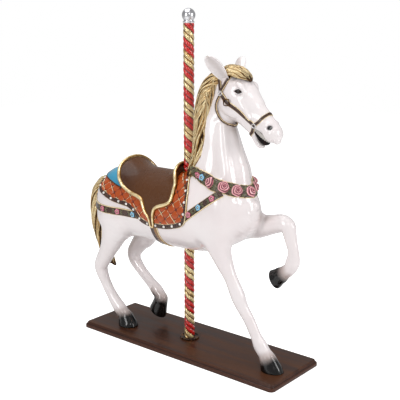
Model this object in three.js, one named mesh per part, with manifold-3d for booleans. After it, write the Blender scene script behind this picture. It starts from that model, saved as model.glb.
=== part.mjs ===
// A carousel horse on its stand, in millimetres. +X is the way the horse faces, +Y its left side, +Z up.
// The origin is the middle of the stand's underside.
//
// Pieces: the horse is one casting with its mane, tail, saddle, cloth and harness; a rope-twist pole goes down
// through it to a flange on a moulded wooden stand; a turned ball finial caps the pole.
import * as THREE from "three";
import { mergeVertices } from "three/addons/utils/BufferGeometryUtils.js";
import Module from "manifold-3d";

const wasm = await Module();
wasm.setup();

// ---- driving sizes ----
const GAP = 0.3; // clearance between pieces that touch
const POLE = { x: -32, lobe: 25, valley: 20.5, strands: 4, pitch: 110, top: 1517, shank: 20, hidden: [560, 800] };
const STAND = { length: 1164, width: 372, height: 30, corner: 24 };
const FLANGE = { radius: 46, height: 9 };
const FINIAL = { ball: 30, collar: 25.5, collarHeight: 7 };
const HEAD = { x: 185, z: 1270, pitch: 40.5 }; // the poll, and how far the face slopes down, in degrees
const HOOF = { coronet: 37, sole: 47, slope: 14 };
const GIRTH = { x: -127, width: 46 };
const ROSE = 24;

// ---- finishes ----
const finish = (color, roughness, metalness = 0) =>
  new THREE.MeshStandardMaterial({ color, roughness, metalness });
const WHITE_GLOSS = finish(0xf3eeee, 0.15);
const RED_GOLD = finish(0xb03a1e, 0.25, 0.3);
const CHROME = finish(0xc8c8cc, 0.12, 1);
const BRONZE = finish(0x6b4a2c, 0.4, 0.5);
const WALNUT = finish(0x4a3128, 0.35);

// ---- from three.js geometry to a solid and back ----
function solidOf(geometry) {
  const bare = new THREE.BufferGeometry().setAttribute("position", geometry.getAttribute("position"));
  if (geometry.index) bare.setIndex(geometry.index);
  const merged = mergeVertices(bare, 1e-3);
  const solid = new wasm.Manifold(
    new wasm.Mesh({
      numProp: 3,
      vertProperties: new Float32Array(merged.attributes.position.array),
      triVerts: new Uint32Array(merged.index.array),
    }),
  );
  return solid.volume() < 0 ? solidOf(turned(merged)) : solid;
}

function turned(geometry) {
  const index = Array.from(geometry.index.array);
  for (let i = 0; i < index.length; i += 3) [index[i + 1], index[i + 2]] = [index[i + 2], index[i + 1]];
  return geometry.clone().setIndex(index);
}

function geometryOf(solid) {
  const mesh = solid.getMesh();
  const points = new Float32Array(mesh.numVert * 3);
  for (let i = 0; i < mesh.numVert; i++) {
    points.set(mesh.vertProperties.subarray(i * mesh.numProp, i * mesh.numProp + 3), i * 3);
  }
  const geometry = new THREE.BufferGeometry();
  geometry.setAttribute("position", new THREE.BufferAttribute(points, 3));
  geometry.setIndex(new THREE.BufferAttribute(new Uint32Array(mesh.triVerts), 1));
  return geometry;
}

const fuse = (solids) => solids.reduce((sum, next) => sum.add(next));
const vec = (x, y, z) => new THREE.Vector3(x, y, z);
const rad = THREE.MathUtils.degToRad;
const between = (a, b, t) => a + (b - a) * t;

// Closes a stack of rings, each with the same number of points, into one solid with a point at each end.
function skin(rings, first, last) {
  const sides = rings[0].length;
  const points = [...rings.flat(), first, last];
  const faces = [];
  rings.forEach((ring, i) => {
    for (let j = 0; j < sides; j++) {
      const a = i * sides + j;
      const b = i * sides + ((j + 1) % sides);
      if (i === 0) faces.push(points.length - 2, b, a);
      if (i === rings.length - 1) faces.push(points.length - 1, a, b);
      else faces.push(a, b, b + sides, a, b + sides, a + sides);
    }
  });
  return solidOf(new THREE.BufferGeometry().setFromPoints(points).setIndex(faces));
}

// Reads a table of [key, value] knots at any key, straight between the knots.
function lookup(knots, key) {
  const next = knots.findIndex(([k]) => k >= key);
  if (next < 0) return knots.at(-1)[1];
  if (next === 0) return knots[0][1];
  const [k0, v0] = knots[next - 1];
  const [k1, v1] = knots[next];
  return between(v0, v1, (key - k0) / (k1 - k0));
}

// ---- the body, as limbs of elliptical sections that blend into each other ----
// Each station is [x, y, z, half width across, half depth fore and aft]; `blend` is how softly the limb joins.
function limb(stations, { blend = 45, fillet = 34, sides = 10, rings = stations.length, samples = 40 } = {}) {
  const spine = new THREE.CatmullRomCurve3(stations.map(([x, y, z]) => vec(x, y, z)));
  const sizes = new THREE.CatmullRomCurve3(stations.map(([, , , w, d]) => vec(w, d, 0)));
  const section = (t) => {
    const along = spine.getTangent(t);
    const across = vec(0, 1, 0).addScaledVector(along, -along.y).normalize();
    const deep = new THREE.Vector3().crossVectors(across, along);
    return { centre: spine.getPoint(t), along, across, deep, size: sizes.getPoint(t) };
  };
  const sections = Array.from({ length: samples + 1 }, (_, i) => section(i / samples));
  return { section, sections, blend, fillet, sides, rings };
}

// About how far a point is outside a limb, from the ellipse of the nearest section.
function distance({ sections }, point) {
  let near = sections[0];
  let best = Infinity;
  for (const s of sections) {
    const d = s.centre.distanceToSquared(point);
    if (d < best) [best, near] = [d, s];
  }
  const off = point.clone().sub(near.centre);
  const w = off.dot(near.across) / near.size.x;
  const d = off.dot(near.deep) / near.size.y;
  const isEnd = near === sections[0] || near === sections.at(-1);
  const a = isEnd ? off.dot(near.along) / Math.min(near.size.x, near.size.y) : 0;
  const reach = Math.hypot(w, d, a);
  return (reach * (reach - 1)) / (Math.hypot(w / near.size.x, d / near.size.y) + 1e-9);
}

function field(limbs, point) {
  return limbs.reduce((sum, part) => {
    const next = distance(part, point);
    const overlap = Math.max(part.blend - Math.abs(sum - next), 0) / part.blend;
    return Math.min(sum, next) - (overlap * overlap * part.blend) / 4;
  }, 1e4);
}

// Walks out from a point inside the body until it reaches the blended skin.
function surface(limbs, from, towards, reach = 260) {
  const point = from.clone();
  for (let walked = 0; walked < reach; walked += 4) {
    point.addScaledVector(towards, 4);
    const left = field(limbs, point);
    if (left > 0) return point.addScaledVector(towards, -Math.min(left, 4));
  }
  return point;
}

// The limb's own solid, its rings eased out to the blended skin so that the joins are filleted.
function loft(part, limbs) {
  const rings = [];
  for (let i = 0; i < part.rings; i++) {
    const { centre, across, deep, size } = part.section(i / (part.rings - 1));
    const ring = [];
    for (let j = 0; j < part.sides; j++) {
      const angle = (2 * Math.PI * (j + 0.5)) / part.sides;
      const out = across.clone().multiplyScalar(Math.cos(angle) * size.x);
      out.addScaledVector(deep, Math.sin(angle) * size.y);
      const point = centre.clone().add(out);
      const eased = surface(limbs, point, out.clone().normalize(), part.fillet + 4);
      const isNear = eased.distanceTo(point) < part.fillet && field(limbs, point) < 0;
      ring.push(isNear ? eased : point);
    }
    rings.push(ring);
  }
  return skin(rings, part.section(0).centre, part.section(1).centre);
}

// A station of the head, given along the face and up from its axis.
function faced([along, up, w, d]) {
  const slope = rad(HEAD.pitch);
  const x = HEAD.x + along * Math.cos(slope) + up * Math.sin(slope);
  const z = HEAD.z - along * Math.sin(slope) + up * Math.cos(slope);
  return [x, 0, z, w, d];
}

const trunk = limb(
  [
    [-606, 0, 654, 12, 14],
    [-592, 0, 652, 46, 54],
    [-560, 0, 650, 88, 108],
    [-515, 0, 650, 120, 138],
    [-465, 0, 652, 138, 156],
    [-400, 0, 655, 148, 168],
    [-360, 0, 656, 150, 172],
    [-230, 0, 658, 150, 171],
    [-90, 0, 656, 154, 176],
    [50, 0, 664, 152, 178],
    [150, 0, 682, 142, 166],
    [235, 0, 704, 122, 138],
    [296, 0, 722, 92, 102],
    [330, 0, 734, 58, 68],
    [350, 0, 740, 16, 20],
  ],
  { sides: 16, rings: 16, blend: 1, fillet: 0 },
);
const neck = limb(
  [
    [120, 0, 690, 112, 185],
    [146, 0, 790, 106, 176],
    [152, 0, 862, 90, 150],
    [146, 0, 905, 80, 140],
    [134, 0, 1010, 66, 113],
    [128, 0, 1064, 59, 101],
    [132, 0, 1115, 55, 93],
    [150, 0, 1184, 52, 76],
    [172, 0, 1235, 46, 62],
  ],
  { sides: 14, rings: 9, blend: 60 },
);
const head = limb(
  [
    [-34, 4, 24, 24],
    [0, 0, 50, 54],
    [40, -9, 58, 80],
    [90, -5, 62, 92],
    [130, -6, 60, 91],
    [170, -5, 52, 78],
    [210, -5, 44, 70],
    [250, 3, 40, 57],
    [285, 10, 40, 42],
    [322, 6, 42, 41],
    [344, 1, 37, 33],
    [359, -3, 18, 15],
  ].map(faced),
  { sides: 12, rings: 13, blend: 34, fillet: 0 },
);
const jaw = limb(
  [
    [170, -46, 40, 34],
    [225, -50, 34, 26],
    [262, -58, 28, 20],
    [294, -70, 25, 15],
    [320, -71, 23, 13],
    [334, -66, 13, 8],
  ].map(faced),
  { sides: 8, rings: 7, blend: 14 },
);
const nearFore = limb([
  [142, -50, 735, 34, 60],
  [160, -52, 690, 52, 94],
  [190, -84, 620, 56, 84],
  [212, -88, 559, 47, 60],
  [246, -84, 478, 35, 40],
  [280, -80, 412, 28, 30],
  [312, -76, 346, 31, 34],
  [326, -74, 314, 28, 31],
  [342, -72, 285, 25, 27],
  [369, -68, 245, 23, 26],
  [406, -63, 173, 23, 25],
  [428, -60, 134, 29, 32],
  [448, -58, 104, 28, 31],
  [466, -57, 82, 32, 35],
]);
const farFore = limb([
  [142, 50, 735, 34, 60],
  [170, 56, 684, 52, 90],
  [226, 84, 644, 55, 76],
  [293, 86, 628, 46, 60],
  [344, 84, 636, 40, 48],
  [397, 82, 652, 37, 42],
  [439, 80, 662, 35, 40],
  [465, 79, 652, 33, 37],
  [476, 78, 622, 28, 31],
  [485, 77, 592, 25, 28],
  [498, 76, 550, 23, 25],
  [501, 75, 523, 25, 28],
  [498, 74, 496, 30, 33],
  [487, 73, 468, 27, 30],
  [463, 72, 446, 28, 30],
  [444, 72, 430, 32, 35],
]);
const nearHind = limb([
  [-474, -44, 715, 42, 64],
  [-462, -50, 655, 64, 100],
  [-436, -84, 590, 76, 100],
  [-432, -92, 530, 62, 82],
  [-453, -94, 470, 48, 62],
  [-490, -90, 405, 37, 46],
  [-529, -85, 350, 33, 41],
  [-554, -81, 305, 31, 38],
  [-546, -80, 268, 28, 32],
  [-522, -79, 221, 25, 27],
  [-492, -79, 178, 25, 27],
  [-457, -78, 135, 28, 31],
  [-426, -77, 104, 30, 34],
  [-407, -76, 86, 29, 32],
  [-390, -75, 70, 33, 36],
]);
const farHind = limb([
  [-474, 44, 715, 42, 64],
  [-462, 50, 655, 64, 100],
  [-425, 86, 580, 76, 100],
  [-395, 94, 510, 60, 84],
  [-408, 94, 450, 48, 60],
  [-439, 92, 415, 40, 47],
  [-463, 90, 385, 35, 42],
  [-482, 87, 350, 33, 39],
  [-474, 84, 318, 29, 34],
  [-450, 82, 290, 26, 30],
  [-413, 80, 258, 24, 27],
  [-355, 76, 218, 24, 27],
  [-315, 73, 190, 29, 32],
  [-290, 72, 165, 28, 31],
  [-281, 71, 146, 32, 35],
]);
const body = [trunk, neck, head, jaw, nearFore, farFore, nearHind, farHind];
const torso = [trunk, neck, nearHind, farHind];

// ---- hooves: from the coronet down to a flat sole ----
function hoof(coronet, sole, facing, grown = 1) {
  const down = sole.clone().sub(coronet).normalize();
  const side = vec(0, 1, 0);
  const front = new THREE.Vector3().crossVectors(side, facing).normalize();
  const ring = (t, radius, lift, normal) => {
    const ahead = new THREE.Vector3().crossVectors(side, normal).normalize();
    const centre = coronet.clone().lerp(sole, t).addScaledVector(ahead, lift);
    return Array.from({ length: 10 }, (_, j) => {
      const angle = (2 * Math.PI * j) / 10;
      const point = centre.clone().addScaledVector(ahead, Math.cos(angle) * radius * 1.08);
      return point.addScaledVector(side, Math.sin(angle) * radius * 0.94);
    });
  };
  const rings = [
    ring(-0.12, HOOF.coronet * grown - 6, 0, down),
    ring(0.04, HOOF.coronet * grown, 2, down.clone().lerp(facing, 0.4)),
    ring(1, HOOF.sole * grown, HOOF.slope - 8, facing),
  ];
  return skin(rings, coronet.clone().addScaledVector(down, -8), sole.clone().addScaledVector(front, 0));
}

const down = vec(0, 0, -1);
const standing = STAND.height + GAP;
const hooves = [
  hoof(vec(466, -57, 82), vec(488, -55, standing), down),
  hoof(vec(-390, -75, 70), vec(-374, -77, standing), down, 1.04),
  hoof(vec(446, 72, 432), vec(408, 71, 402), vec(-0.87, 0, -0.5), 0.86),
  hoof(vec(-281, 71, 146), vec(-304, 70, 80), vec(-0.53, 0, -0.85), 0.94),
];

// ---- ears, mane, forelock and tail ----
function ear(side) {
  const stations = [
    [212, 40 * side, 1288, 14, 22],
    [202, 60 * side, 1313, 14, 33],
    [189, 82 * side, 1340, 11, 36],
    [176, 103 * side, 1364, 7, 25],
    [168, 114 * side, 1379, 2, 4],
  ];
  return loft(limb(stations, { sides: 8, rings: 6 }), []);
}

const maneLine = [
  [198, -10, 1303, 22, 26],
  [153, -24, 1284, 37, 36],
  [121, -39, 1238, 41, 41],
  [98, -46, 1180, 36, 39],
  [86, -50, 1110, 31, 35],
  [85, -56, 1030, 29, 32],
  [83, -64, 960, 26, 29],
  [72, -72, 905, 23, 26],
  [51, -76, 864, 18, 20],
  [26, -76, 834, 7, 8],
];
const forelockLine = [
  [178, -2, 1304, 36, 22],
  [212, -3, 1316, 47, 25],
  [254, -5, 1311, 47, 22],
  [293, -6, 1295, 35, 16],
  [321, -9, 1279, 11, 6],
];
const tailLine = [
  [-560, 0, 742, 20, 20],
  [-600, 0, 724, 28, 28],
  [-636, 0, 672, 38, 32],
  [-648, 0, 590, 43, 35],
  [-640, 0, 500, 42, 34],
  [-618, 0, 425, 37, 29],
  [-598, 0, 362, 31, 24],
  [-572, 4, 318, 24, 18],
  [-540, 8, 290, 8, 8],
];

// Hair carved as a rope of locks: the section is fluted, and the flutes wind slowly along it.
function locks(stations, { flutes = 5, depth = 0.16, wind = 1.2, rings = 20 }) {
  const rope = limb(stations, { samples: 2 });
  const sides = flutes * 2;
  const stack = [];
  for (let i = 0; i < rings; i++) {
    const t = i / (rings - 1);
    const { centre, across, deep, size } = rope.section(t);
    const ring = [];
    for (let j = 0; j < sides; j++) {
      const angle = (2 * Math.PI * j) / sides + 2 * Math.PI * wind * t;
      const reach = j % 2 ? 1 - depth : 1 + depth / 2;
      const point = centre.clone().addScaledVector(across, Math.cos(angle) * size.x * reach);
      ring.push(point.addScaledVector(deep, Math.sin(angle) * size.y * reach));
    }
    stack.push(ring);
  }
  return skin(stack, rope.section(0).centre, rope.section(1).centre);
}

// ---- things carved on the body's skin ----
// A place on the trunk: `angle` is measured from the top, in degrees, + down the near (right) side.
function onTrunk(x, angle, lift = 0) {
  const from = vec(x, 0, lookup([[-640, 652], [-90, 656], [50, 658], [150, 672], [235, 700], [345, 738]], x));
  const out = vec(0, -Math.sin(rad(angle)), Math.cos(rad(angle)));
  return surface(torso, from, out).addScaledVector(out, lift);
}

// A raised sheet: `place(u, v, lift)` gives its points, and its underside is sunk into the body.
function sheet(place, rows, columns, thickness, sink = 12) {
  const rings = [];
  for (let i = 0; i <= rows; i++) {
    const u = i / rows;
    const over = Array.from({ length: columns + 1 }, (_, j) => place(u, j / columns, thickness));
    const under = Array.from({ length: columns + 1 }, (_, j) => place(u, 1 - j / columns, -sink));
    rings.push([...over, ...under]);
  }
  const middle = (ring) => ring.reduce((sum, p) => sum.add(p), vec(0, 0, 0)).multiplyScalar(1 / ring.length);
  return stitched(rings, rows, columns, middle);
}

// Closes the sheet's two ends with strips, since their middles may lie outside a curved outline.
function stitched(rings, rows, columns) {
  const sides = rings[0].length;
  const faces = [];
  for (let i = 0; i < rows; i++) {
    for (let j = 0; j < sides; j++) {
      const a = i * sides + j;
      const b = i * sides + ((j + 1) % sides);
      faces.push(a, b, b + sides, a, b + sides, a + sides);
    }
  }
  for (const [row, flip] of [[0, true], [rows, false]]) {
    for (let j = 0; j < columns; j++) {
      const quad = [j, j + 1, sides - 2 - j, sides - 1 - j].map((k) => row * sides + k);
      if (flip) quad.reverse();
      faces.push(quad[0], quad[1], quad[2], quad[0], quad[2], quad[3]);
    }
  }
  return solidOf(new THREE.BufferGeometry().setFromPoints(rings.flat()).setIndex(faces));
}

// A strap along points on the skin: each is pushed out by the strap's thickness, square to the body.
function strap(points, outward, width, thickness = 5) {
  const curve = new THREE.CatmullRomCurve3(points);
  const steps = points.length + 1;
  const place = (u, v, lift) => {
    const at = curve.getPoint(u);
    const out = outward(at);
    const across = new THREE.Vector3().crossVectors(out, curve.getTangent(u)).normalize();
    return at.addScaledVector(across, (v - 0.5) * width).addScaledVector(out, lift);
  };
  return sheet(place, steps, 1, thickness, 10);
}

// Saddle cloth: rows run over the back from edge to edge, rear to front.
const clothEdge = {
  x: [[0, -452], [0.12, -434], [0.25, -335], [0.37, -269], [0.48, -199], [0.6, -130], [0.8, -20], [1, 64]],
  angle: [[0, 64], [0.12, 73], [0.25, 83], [0.37, 87], [0.48, 108], [0.6, 110], [0.8, 107], [1, 96]],
};
function cloth(u, v, lift) {
  const side = 2 * v - 1;
  const top = between(-492, 8, u);
  const bow = between(1.6, 0.6, u);
  const x = between(top, lookup(clothEdge.x, u), Math.abs(side) ** bow);
  return onTrunk(x, side * lookup(clothEdge.angle, u), lift);
}

// Saddle: at each angle round the body it runs from a rear edge to a front edge.
const saddleRear = [
  [0, -378], [20, -378], [35, -366], [50, -331], [59, -277], [63, -227], [67, -194], [77, -176], [87, -161], [96, -138],
  [110, -134],
];
const saddleFront = [
  [0, -60], [15, -48], [29, -27], [48, -14], [61, -14], [69, -42], [74, -84], [81, -108], [92, -113], [110, -115],
];
const SADDLE = { flap: 110, leather: 13, cantle: 40, pommel: 38 };
function saddleLift(x, angle) {
  const side = Math.abs(angle);
  const rise = (edge, reach) => Math.max(0, 1 - Math.abs(x - edge) / reach) ** 2;
  const cantle = SADDLE.cantle * rise(lookup(saddleRear, side), 120) * Math.max(0, 1 - (side / 52) ** 3);
  const pommel = SADDLE.pommel * rise(lookup(saddleFront, side), 62) * Math.max(0, 1 - (side / 30) ** 2);
  return SADDLE.leather + cantle + pommel;
}
function saddleAt(along, angle, lift) {
  const side = Math.abs(angle);
  const x = between(lookup(saddleRear, side), lookup(saddleFront, side), along);
  return onTrunk(x, angle, lift > 0 ? lift + saddleLift(x, angle) : lift);
}
// The rows bunch at the two edges, where the leather turns up into a rolled rim.
const saddleRows = [[0, 5], [0.03, 10], [0.09, 9], [0.12, 0], [0.36, 0], [0.64, 0], [0.88, 0], [0.91, 9], [0.97, 10], [1, 5]];
function saddle() {
  const rows = saddleRows.length - 1;
  const place = (u, v, lift) => {
    const [along, rim] = saddleRows[Math.round(u * rows)];
    return saddleAt(along, between(-SADDLE.flap, SADDLE.flap, v), lift > 0 ? lift + rim : lift);
  };
  return sheet(place, rows, 20, 1);
}

const outFromTrunk = (p) => vec(0, p.y, p.z - 660).normalize();
const outFromNeck = (p) => vec(p.x - 150, p.y * 1.6, 0).normalize();

function girth() {
  const points = [];
  for (let angle = 108; angle <= 252; angle += 16) {
    points.push(onTrunk(GIRTH.x, angle));
  }
  return strap(points, outFromTrunk, GIRTH.width);
}
function breeching() {
  const out = (p) => (p.x < -540 ? vec(p.x + 540, p.y * 2, 0).normalize() : outFromTrunk(p));
  const turns = [[-225, 98], [-300, 98], [-390, 97], [-470, 96], [-545, 94], [-600, 92]];
  const nearSide = turns.map(([x, angle]) => onTrunk(x, angle));
  const farSide = turns.map(([x, angle]) => onTrunk(x, -angle)).reverse();
  return strap([...nearSide, vec(-616, 0, 640), ...farSide], out, 40);
}
function breastStrap(side) {
  const turns = [[70, 80], [110, 74], [150, 66], [195, 57], [240, 50]];
  return strap(turns.map(([x, angle]) => onTrunk(x, side * angle)), outFromTrunk, 33);
}

// The garland goes round the root of the neck: [degrees round from the front, height].
const garlandTurns = [[0, 806], [26, 812], [50, 824], [76, 836], [104, 852], [132, 872], [156, 888]];
function onNeckRoot(turn, z, lift = 0) {
  const out = vec(Math.cos(rad(turn)), -Math.sin(rad(turn)), 0);
  return surface(torso, vec(150, 0, z), out).addScaledVector(out, lift);
}
function garland() {
  const nearSide = garlandTurns.map(([turn, z]) => onNeckRoot(turn, z));
  const farSide = garlandTurns.slice(1).map(([turn, z]) => onNeckRoot(-turn, z));
  return strap([...nearSide.reverse(), ...farSide], outFromNeck, 56, 8);
}
function roses() {
  const turns = [0, 26, 50, 76];
  return turns.flatMap((turn) => {
    const z = lookup(garlandTurns, turn);
    return (turn ? [turn, -turn] : [turn]).map((t) => {
      const at = onNeckRoot(t, z, 8);
      const bud = new THREE.SphereGeometry(ROSE, 7, 4).scale(1, 0.55, 1);
      bud.rotateZ(rad(90 - t)).translate(at.x, at.y, at.z);
      return solidOf(bud);
    });
  });
}

// ---- bridle ----
function onHead(along, up, side, lift = 0) {
  const [x, , z] = faced([along, up, 0, 0]);
  const out = vec(0, -side, 0);
  return surface([head, jaw, neck], vec(x, 0, z), out, 120).addScaledVector(out, lift);
}
const outFromHead = (p) => {
  const slope = rad(HEAD.pitch);
  const up = (p.x - HEAD.x) * Math.sin(slope) + (p.z - HEAD.z) * Math.cos(slope);
  return vec(up * Math.sin(slope), p.y * 1.8, up * Math.cos(slope)).normalize();
};
function aroundFace(along, from, to, steps, lean = 0) {
  const [cx, , cz] = faced([along, -4, 0, 0]);
  const slope = rad(HEAD.pitch);
  return Array.from({ length: steps + 1 }, (_, i) => {
    const angle = rad(between(from, to, i / steps));
    const up = Math.cos(angle);
    const out = vec(up * Math.sin(slope), -Math.sin(angle), up * Math.cos(slope));
    const start = vec(cx, 0, cz).addScaledVector(vec(Math.cos(slope), 0, -Math.sin(slope)), lean * up);
    return surface([head, jaw, neck], start, out, 160);
  });
}
function bridle() {
  const noseband = strap(aroundFace(262, -112, 112, 8, 12), outFromHead, 17, 5);
  const brow = strap(aroundFace(52, -84, 84, 7, 24), outFromHead, 14, 5);
  const cheeks = [1, -1].map((side) => {
    const run = [[46, -34], [110, -33], [180, -28], [254, -26]];
    return strap(run.map(([along, up]) => onHead(along, up, side)), outFromHead, 15, 5);
  });
  return [noseband, brow, ...cheeks];
}

// ---- the stand, the flange, the pole and the finial ----
function plank(inset, z) {
  const { length, width, corner } = STAND;
  const radius = corner - inset * 0.5;
  const points = [];
  for (const [sx, sy, start] of [[1, 1, 0], [-1, 1, 90], [-1, -1, 180], [1, -1, 270]]) {
    for (let i = 0; i <= 4; i++) {
      const angle = rad(start + i * 22.5);
      const x = sx * (length / 2 - inset - radius) + Math.cos(angle) * radius;
      points.push(vec(x, sy * (width / 2 - inset - radius) + Math.sin(angle) * radius, z));
    }
  }
  return points;
}
function stand() {
  const profile = [[3, 0], [0, 4], [0, 14], [3, 18], [7, 19], [7, 22], [10, 24.5], [11, 28], [13, STAND.height]];
  const rings = profile.map(([inset, z]) => plank(inset, z));
  return skin(rings, vec(0, 0, 0), vec(0, 0, STAND.height));
}

const turning = (profile, sides) => {
  const geometry = new THREE.LatheGeometry(profile.map(([r, z]) => new THREE.Vector2(r, z)), sides);
  return solidOf(geometry.rotateX(Math.PI / 2)).translate([POLE.x, 0, 0]);
};
function bore(radius) {
  return turning([[0, -10], [radius, -10], [radius, 1700], [0, 1700]], 24);
}

// The pole is a rope of four strands; its stretch inside the horse is a plain shank.
function rope(bottom, top) {
  const sides = POLE.strands * 2;
  const steps = Math.ceil(((top - bottom) / POLE.pitch) * 6);
  const rings = [];
  for (let i = 0; i <= steps; i++) {
    const z = between(bottom, top, i / steps);
    const twist = (-2 * Math.PI * z) / POLE.pitch;
    rings.push(
      Array.from({ length: sides }, (_, j) => {
        const angle = twist + (2 * Math.PI * j) / sides;
        const radius = j % 2 ? POLE.valley : POLE.lobe;
        return vec(POLE.x + Math.cos(angle) * radius, Math.sin(angle) * radius, z);
      }),
    );
  }
  return skin(rings, vec(POLE.x, 0, bottom), vec(POLE.x, 0, top));
}
function pole() {
  const [low, high] = POLE.hidden;
  const shank = turning([[0, low - 2], [POLE.shank, low - 2], [POLE.shank, high + 2], [0, high + 2]], 16);
  return fuse([rope(STAND.height + GAP, low), shank, rope(high, POLE.top)]);
}

function flange() {
  const base = STAND.height + GAP;
  const { radius, height } = FLANGE;
  const inner = POLE.lobe + 0.5;
  const profile = [[inner, 0], [radius, 0], [radius, height * 0.5], [radius - 5, height], [inner, height], [inner, 0]];
  return turning(profile.map(([r, z]) => [r, base + z]), 18);
}

function finial() {
  const base = POLE.top + GAP;
  const { ball, collar, collarHeight } = FINIAL;
  const centre = base + collarHeight + ball * 0.86;
  const profile = [[0, 0], [collar, 0], [collar + 1, 2], [collar + 1, 4], [collar - 2, collarHeight - 1]];
  const turned = profile.map(([r, z]) => [r, base + z]);
  for (let angle = -52; angle < 84; angle += 17) {
    turned.push([ball * Math.cos(rad(angle)), centre + ball * Math.sin(rad(angle))]);
  }
  turned.push([0, centre + ball]);
  return turning(turned, 15);
}

// ---- the group ----
const casting = fuse([
  ...body.map((part) => loft(part, body)),
  ...hooves,
  ear(1),
  ear(-1),
  locks(maneLine, { flutes: 4, wind: -1.5, rings: 13 }),
  locks(forelockLine, { flutes: 4, wind: 0.4, rings: 6 }),
  locks(tailLine, { flutes: 4, wind: 1.4, rings: 12 }),
  sheet(cloth, 8, 14, 8),
  saddle(),
  girth(),
  breeching(),
  breastStrap(1),
  breastStrap(-1),
  garland(),
  ...roses(),
  ...bridle(),
]);
const horse = casting.subtract(bore(POLE.lobe + 0.6));

const group = new THREE.Group();
function place(name, solid, material) {
  const mesh = new THREE.Mesh(geometryOf(solid), material);
  mesh.name = name;
  group.add(mesh);
}
place("horse", horse, WHITE_GLOSS);
place("pole", pole(), RED_GOLD);
place("finial", finial(), CHROME);
place("flange", flange(), BRONZE);
place("stand", stand(), WALNUT);

export default group;
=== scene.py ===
"""Carousel horse on a rope-twist pole and a moulded stand.

Sizes are millimetres while shapes are worked out, and metres once they are in a mesh. +X is the way the horse
faces, +Y its left side, +Z up, and the origin is the middle of the stand's underside.
"""

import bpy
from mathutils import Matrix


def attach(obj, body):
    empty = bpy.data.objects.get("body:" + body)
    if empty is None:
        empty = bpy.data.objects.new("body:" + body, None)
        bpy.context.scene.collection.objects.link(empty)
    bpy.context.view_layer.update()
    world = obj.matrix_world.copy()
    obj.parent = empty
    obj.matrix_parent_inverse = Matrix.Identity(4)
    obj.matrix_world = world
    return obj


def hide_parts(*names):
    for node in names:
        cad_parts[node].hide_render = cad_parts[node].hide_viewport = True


bl_info = {
    "name": "Carousel Horse",
    "version": (1, 0, 0),
    "blender": (4, 5, 0),
    "location": "3D View > Sidebar > Carousel",
    "description": "Carved and painted carousel horse with harness, pole and stand",
    "category": "Object",
}

import math

import bmesh
import bpy
import numpy as np
from mathutils import Vector

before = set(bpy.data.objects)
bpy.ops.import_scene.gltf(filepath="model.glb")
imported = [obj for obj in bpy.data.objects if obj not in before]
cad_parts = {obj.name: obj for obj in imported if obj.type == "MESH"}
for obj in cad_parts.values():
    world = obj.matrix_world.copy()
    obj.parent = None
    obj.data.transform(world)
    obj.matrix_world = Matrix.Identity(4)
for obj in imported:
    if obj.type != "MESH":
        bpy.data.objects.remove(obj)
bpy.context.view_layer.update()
MM = 0.001

# ---------------------------------------------------------------- sizes shared with the solids, in mm
POLE_X = -32.0
POLE = {"lobe": 25.0, "valley": 20.5, "pitch": 110.0, "top": 1517.0}
HEAD = {"x": 185.0, "z": 1270.0, "pitch": 40.5}
STAND = {"length": 1164.0, "width": 372.0, "height": 30.0, "corner": 24.0}
GAP = 0.3

TRUNK = [
    (-606, 0, 654, 12, 14), (-592, 0, 652, 46, 54), (-560, 0, 650, 88, 108), (-515, 0, 650, 120, 138),
    (-465, 0, 652, 138, 156), (-400, 0, 655, 148, 168), (-360, 0, 656, 150, 172), (-230, 0, 658, 150, 171),
    (-90, 0, 656, 154, 176), (50, 0, 664, 152, 178), (150, 0, 682, 142, 166), (235, 0, 704, 122, 138),
    (296, 0, 722, 92, 102), (330, 0, 734, 58, 68), (350, 0, 740, 16, 20),
]
NECK = [
    (120, 0, 690, 112, 185), (146, 0, 790, 106, 176), (152, 0, 862, 90, 150), (146, 0, 905, 80, 140),
    (134, 0, 1010, 66, 113), (128, 0, 1064, 59, 101), (132, 0, 1115, 55, 93), (150, 0, 1184, 52, 76),
    (172, 0, 1235, 46, 62),
]
# Stations of the head run down the face: along, up from the axis, half width, half depth.
FACE = [
    (-34, 4, 24, 24), (0, 0, 50, 54), (40, -9, 58, 80), (90, -5, 62, 92), (130, -6, 60, 91),
    (170, -5, 52, 78), (210, -5, 44, 70), (250, 3, 40, 57), (285, 10, 40, 42), (322, 6, 42, 41),
    (344, 1, 37, 33), (359, -3, 18, 15),
]
JAW = [
    (170, -46, 40, 34), (225, -50, 34, 26), (260, -59, 28, 20), (287, -73, 25, 15), (308, -77, 22, 13),
    (321, -74, 13, 8),
]
NEAR_FORE = [
    (142, -50, 735, 34, 60), (160, -52, 690, 52, 94), (190, -84, 620, 56, 84), (212, -88, 559, 47, 60),
    (246, -84, 478, 35, 40), (280, -80, 412, 28, 30), (312, -76, 346, 31, 34), (326, -74, 314, 28, 31),
    (342, -72, 285, 25, 27), (369, -68, 245, 23, 26), (406, -63, 173, 23, 25), (428, -60, 134, 29, 32),
    (448, -58, 104, 28, 31), (466, -57, 82, 32, 35),
]
FAR_FORE = [
    (142, 50, 735, 34, 60), (170, 56, 684, 52, 90), (226, 84, 644, 55, 76), (293, 86, 628, 46, 60),
    (344, 84, 636, 40, 48), (397, 82, 652, 37, 42), (439, 80, 662, 35, 40), (465, 79, 652, 33, 37),
    (476, 78, 622, 28, 31), (485, 77, 592, 25, 28), (498, 76, 550, 23, 25), (501, 75, 523, 25, 28),
    (498, 74, 496, 30, 33), (487, 73, 468, 27, 30), (463, 72, 446, 28, 30), (444, 72, 430, 32, 35),
]
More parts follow.
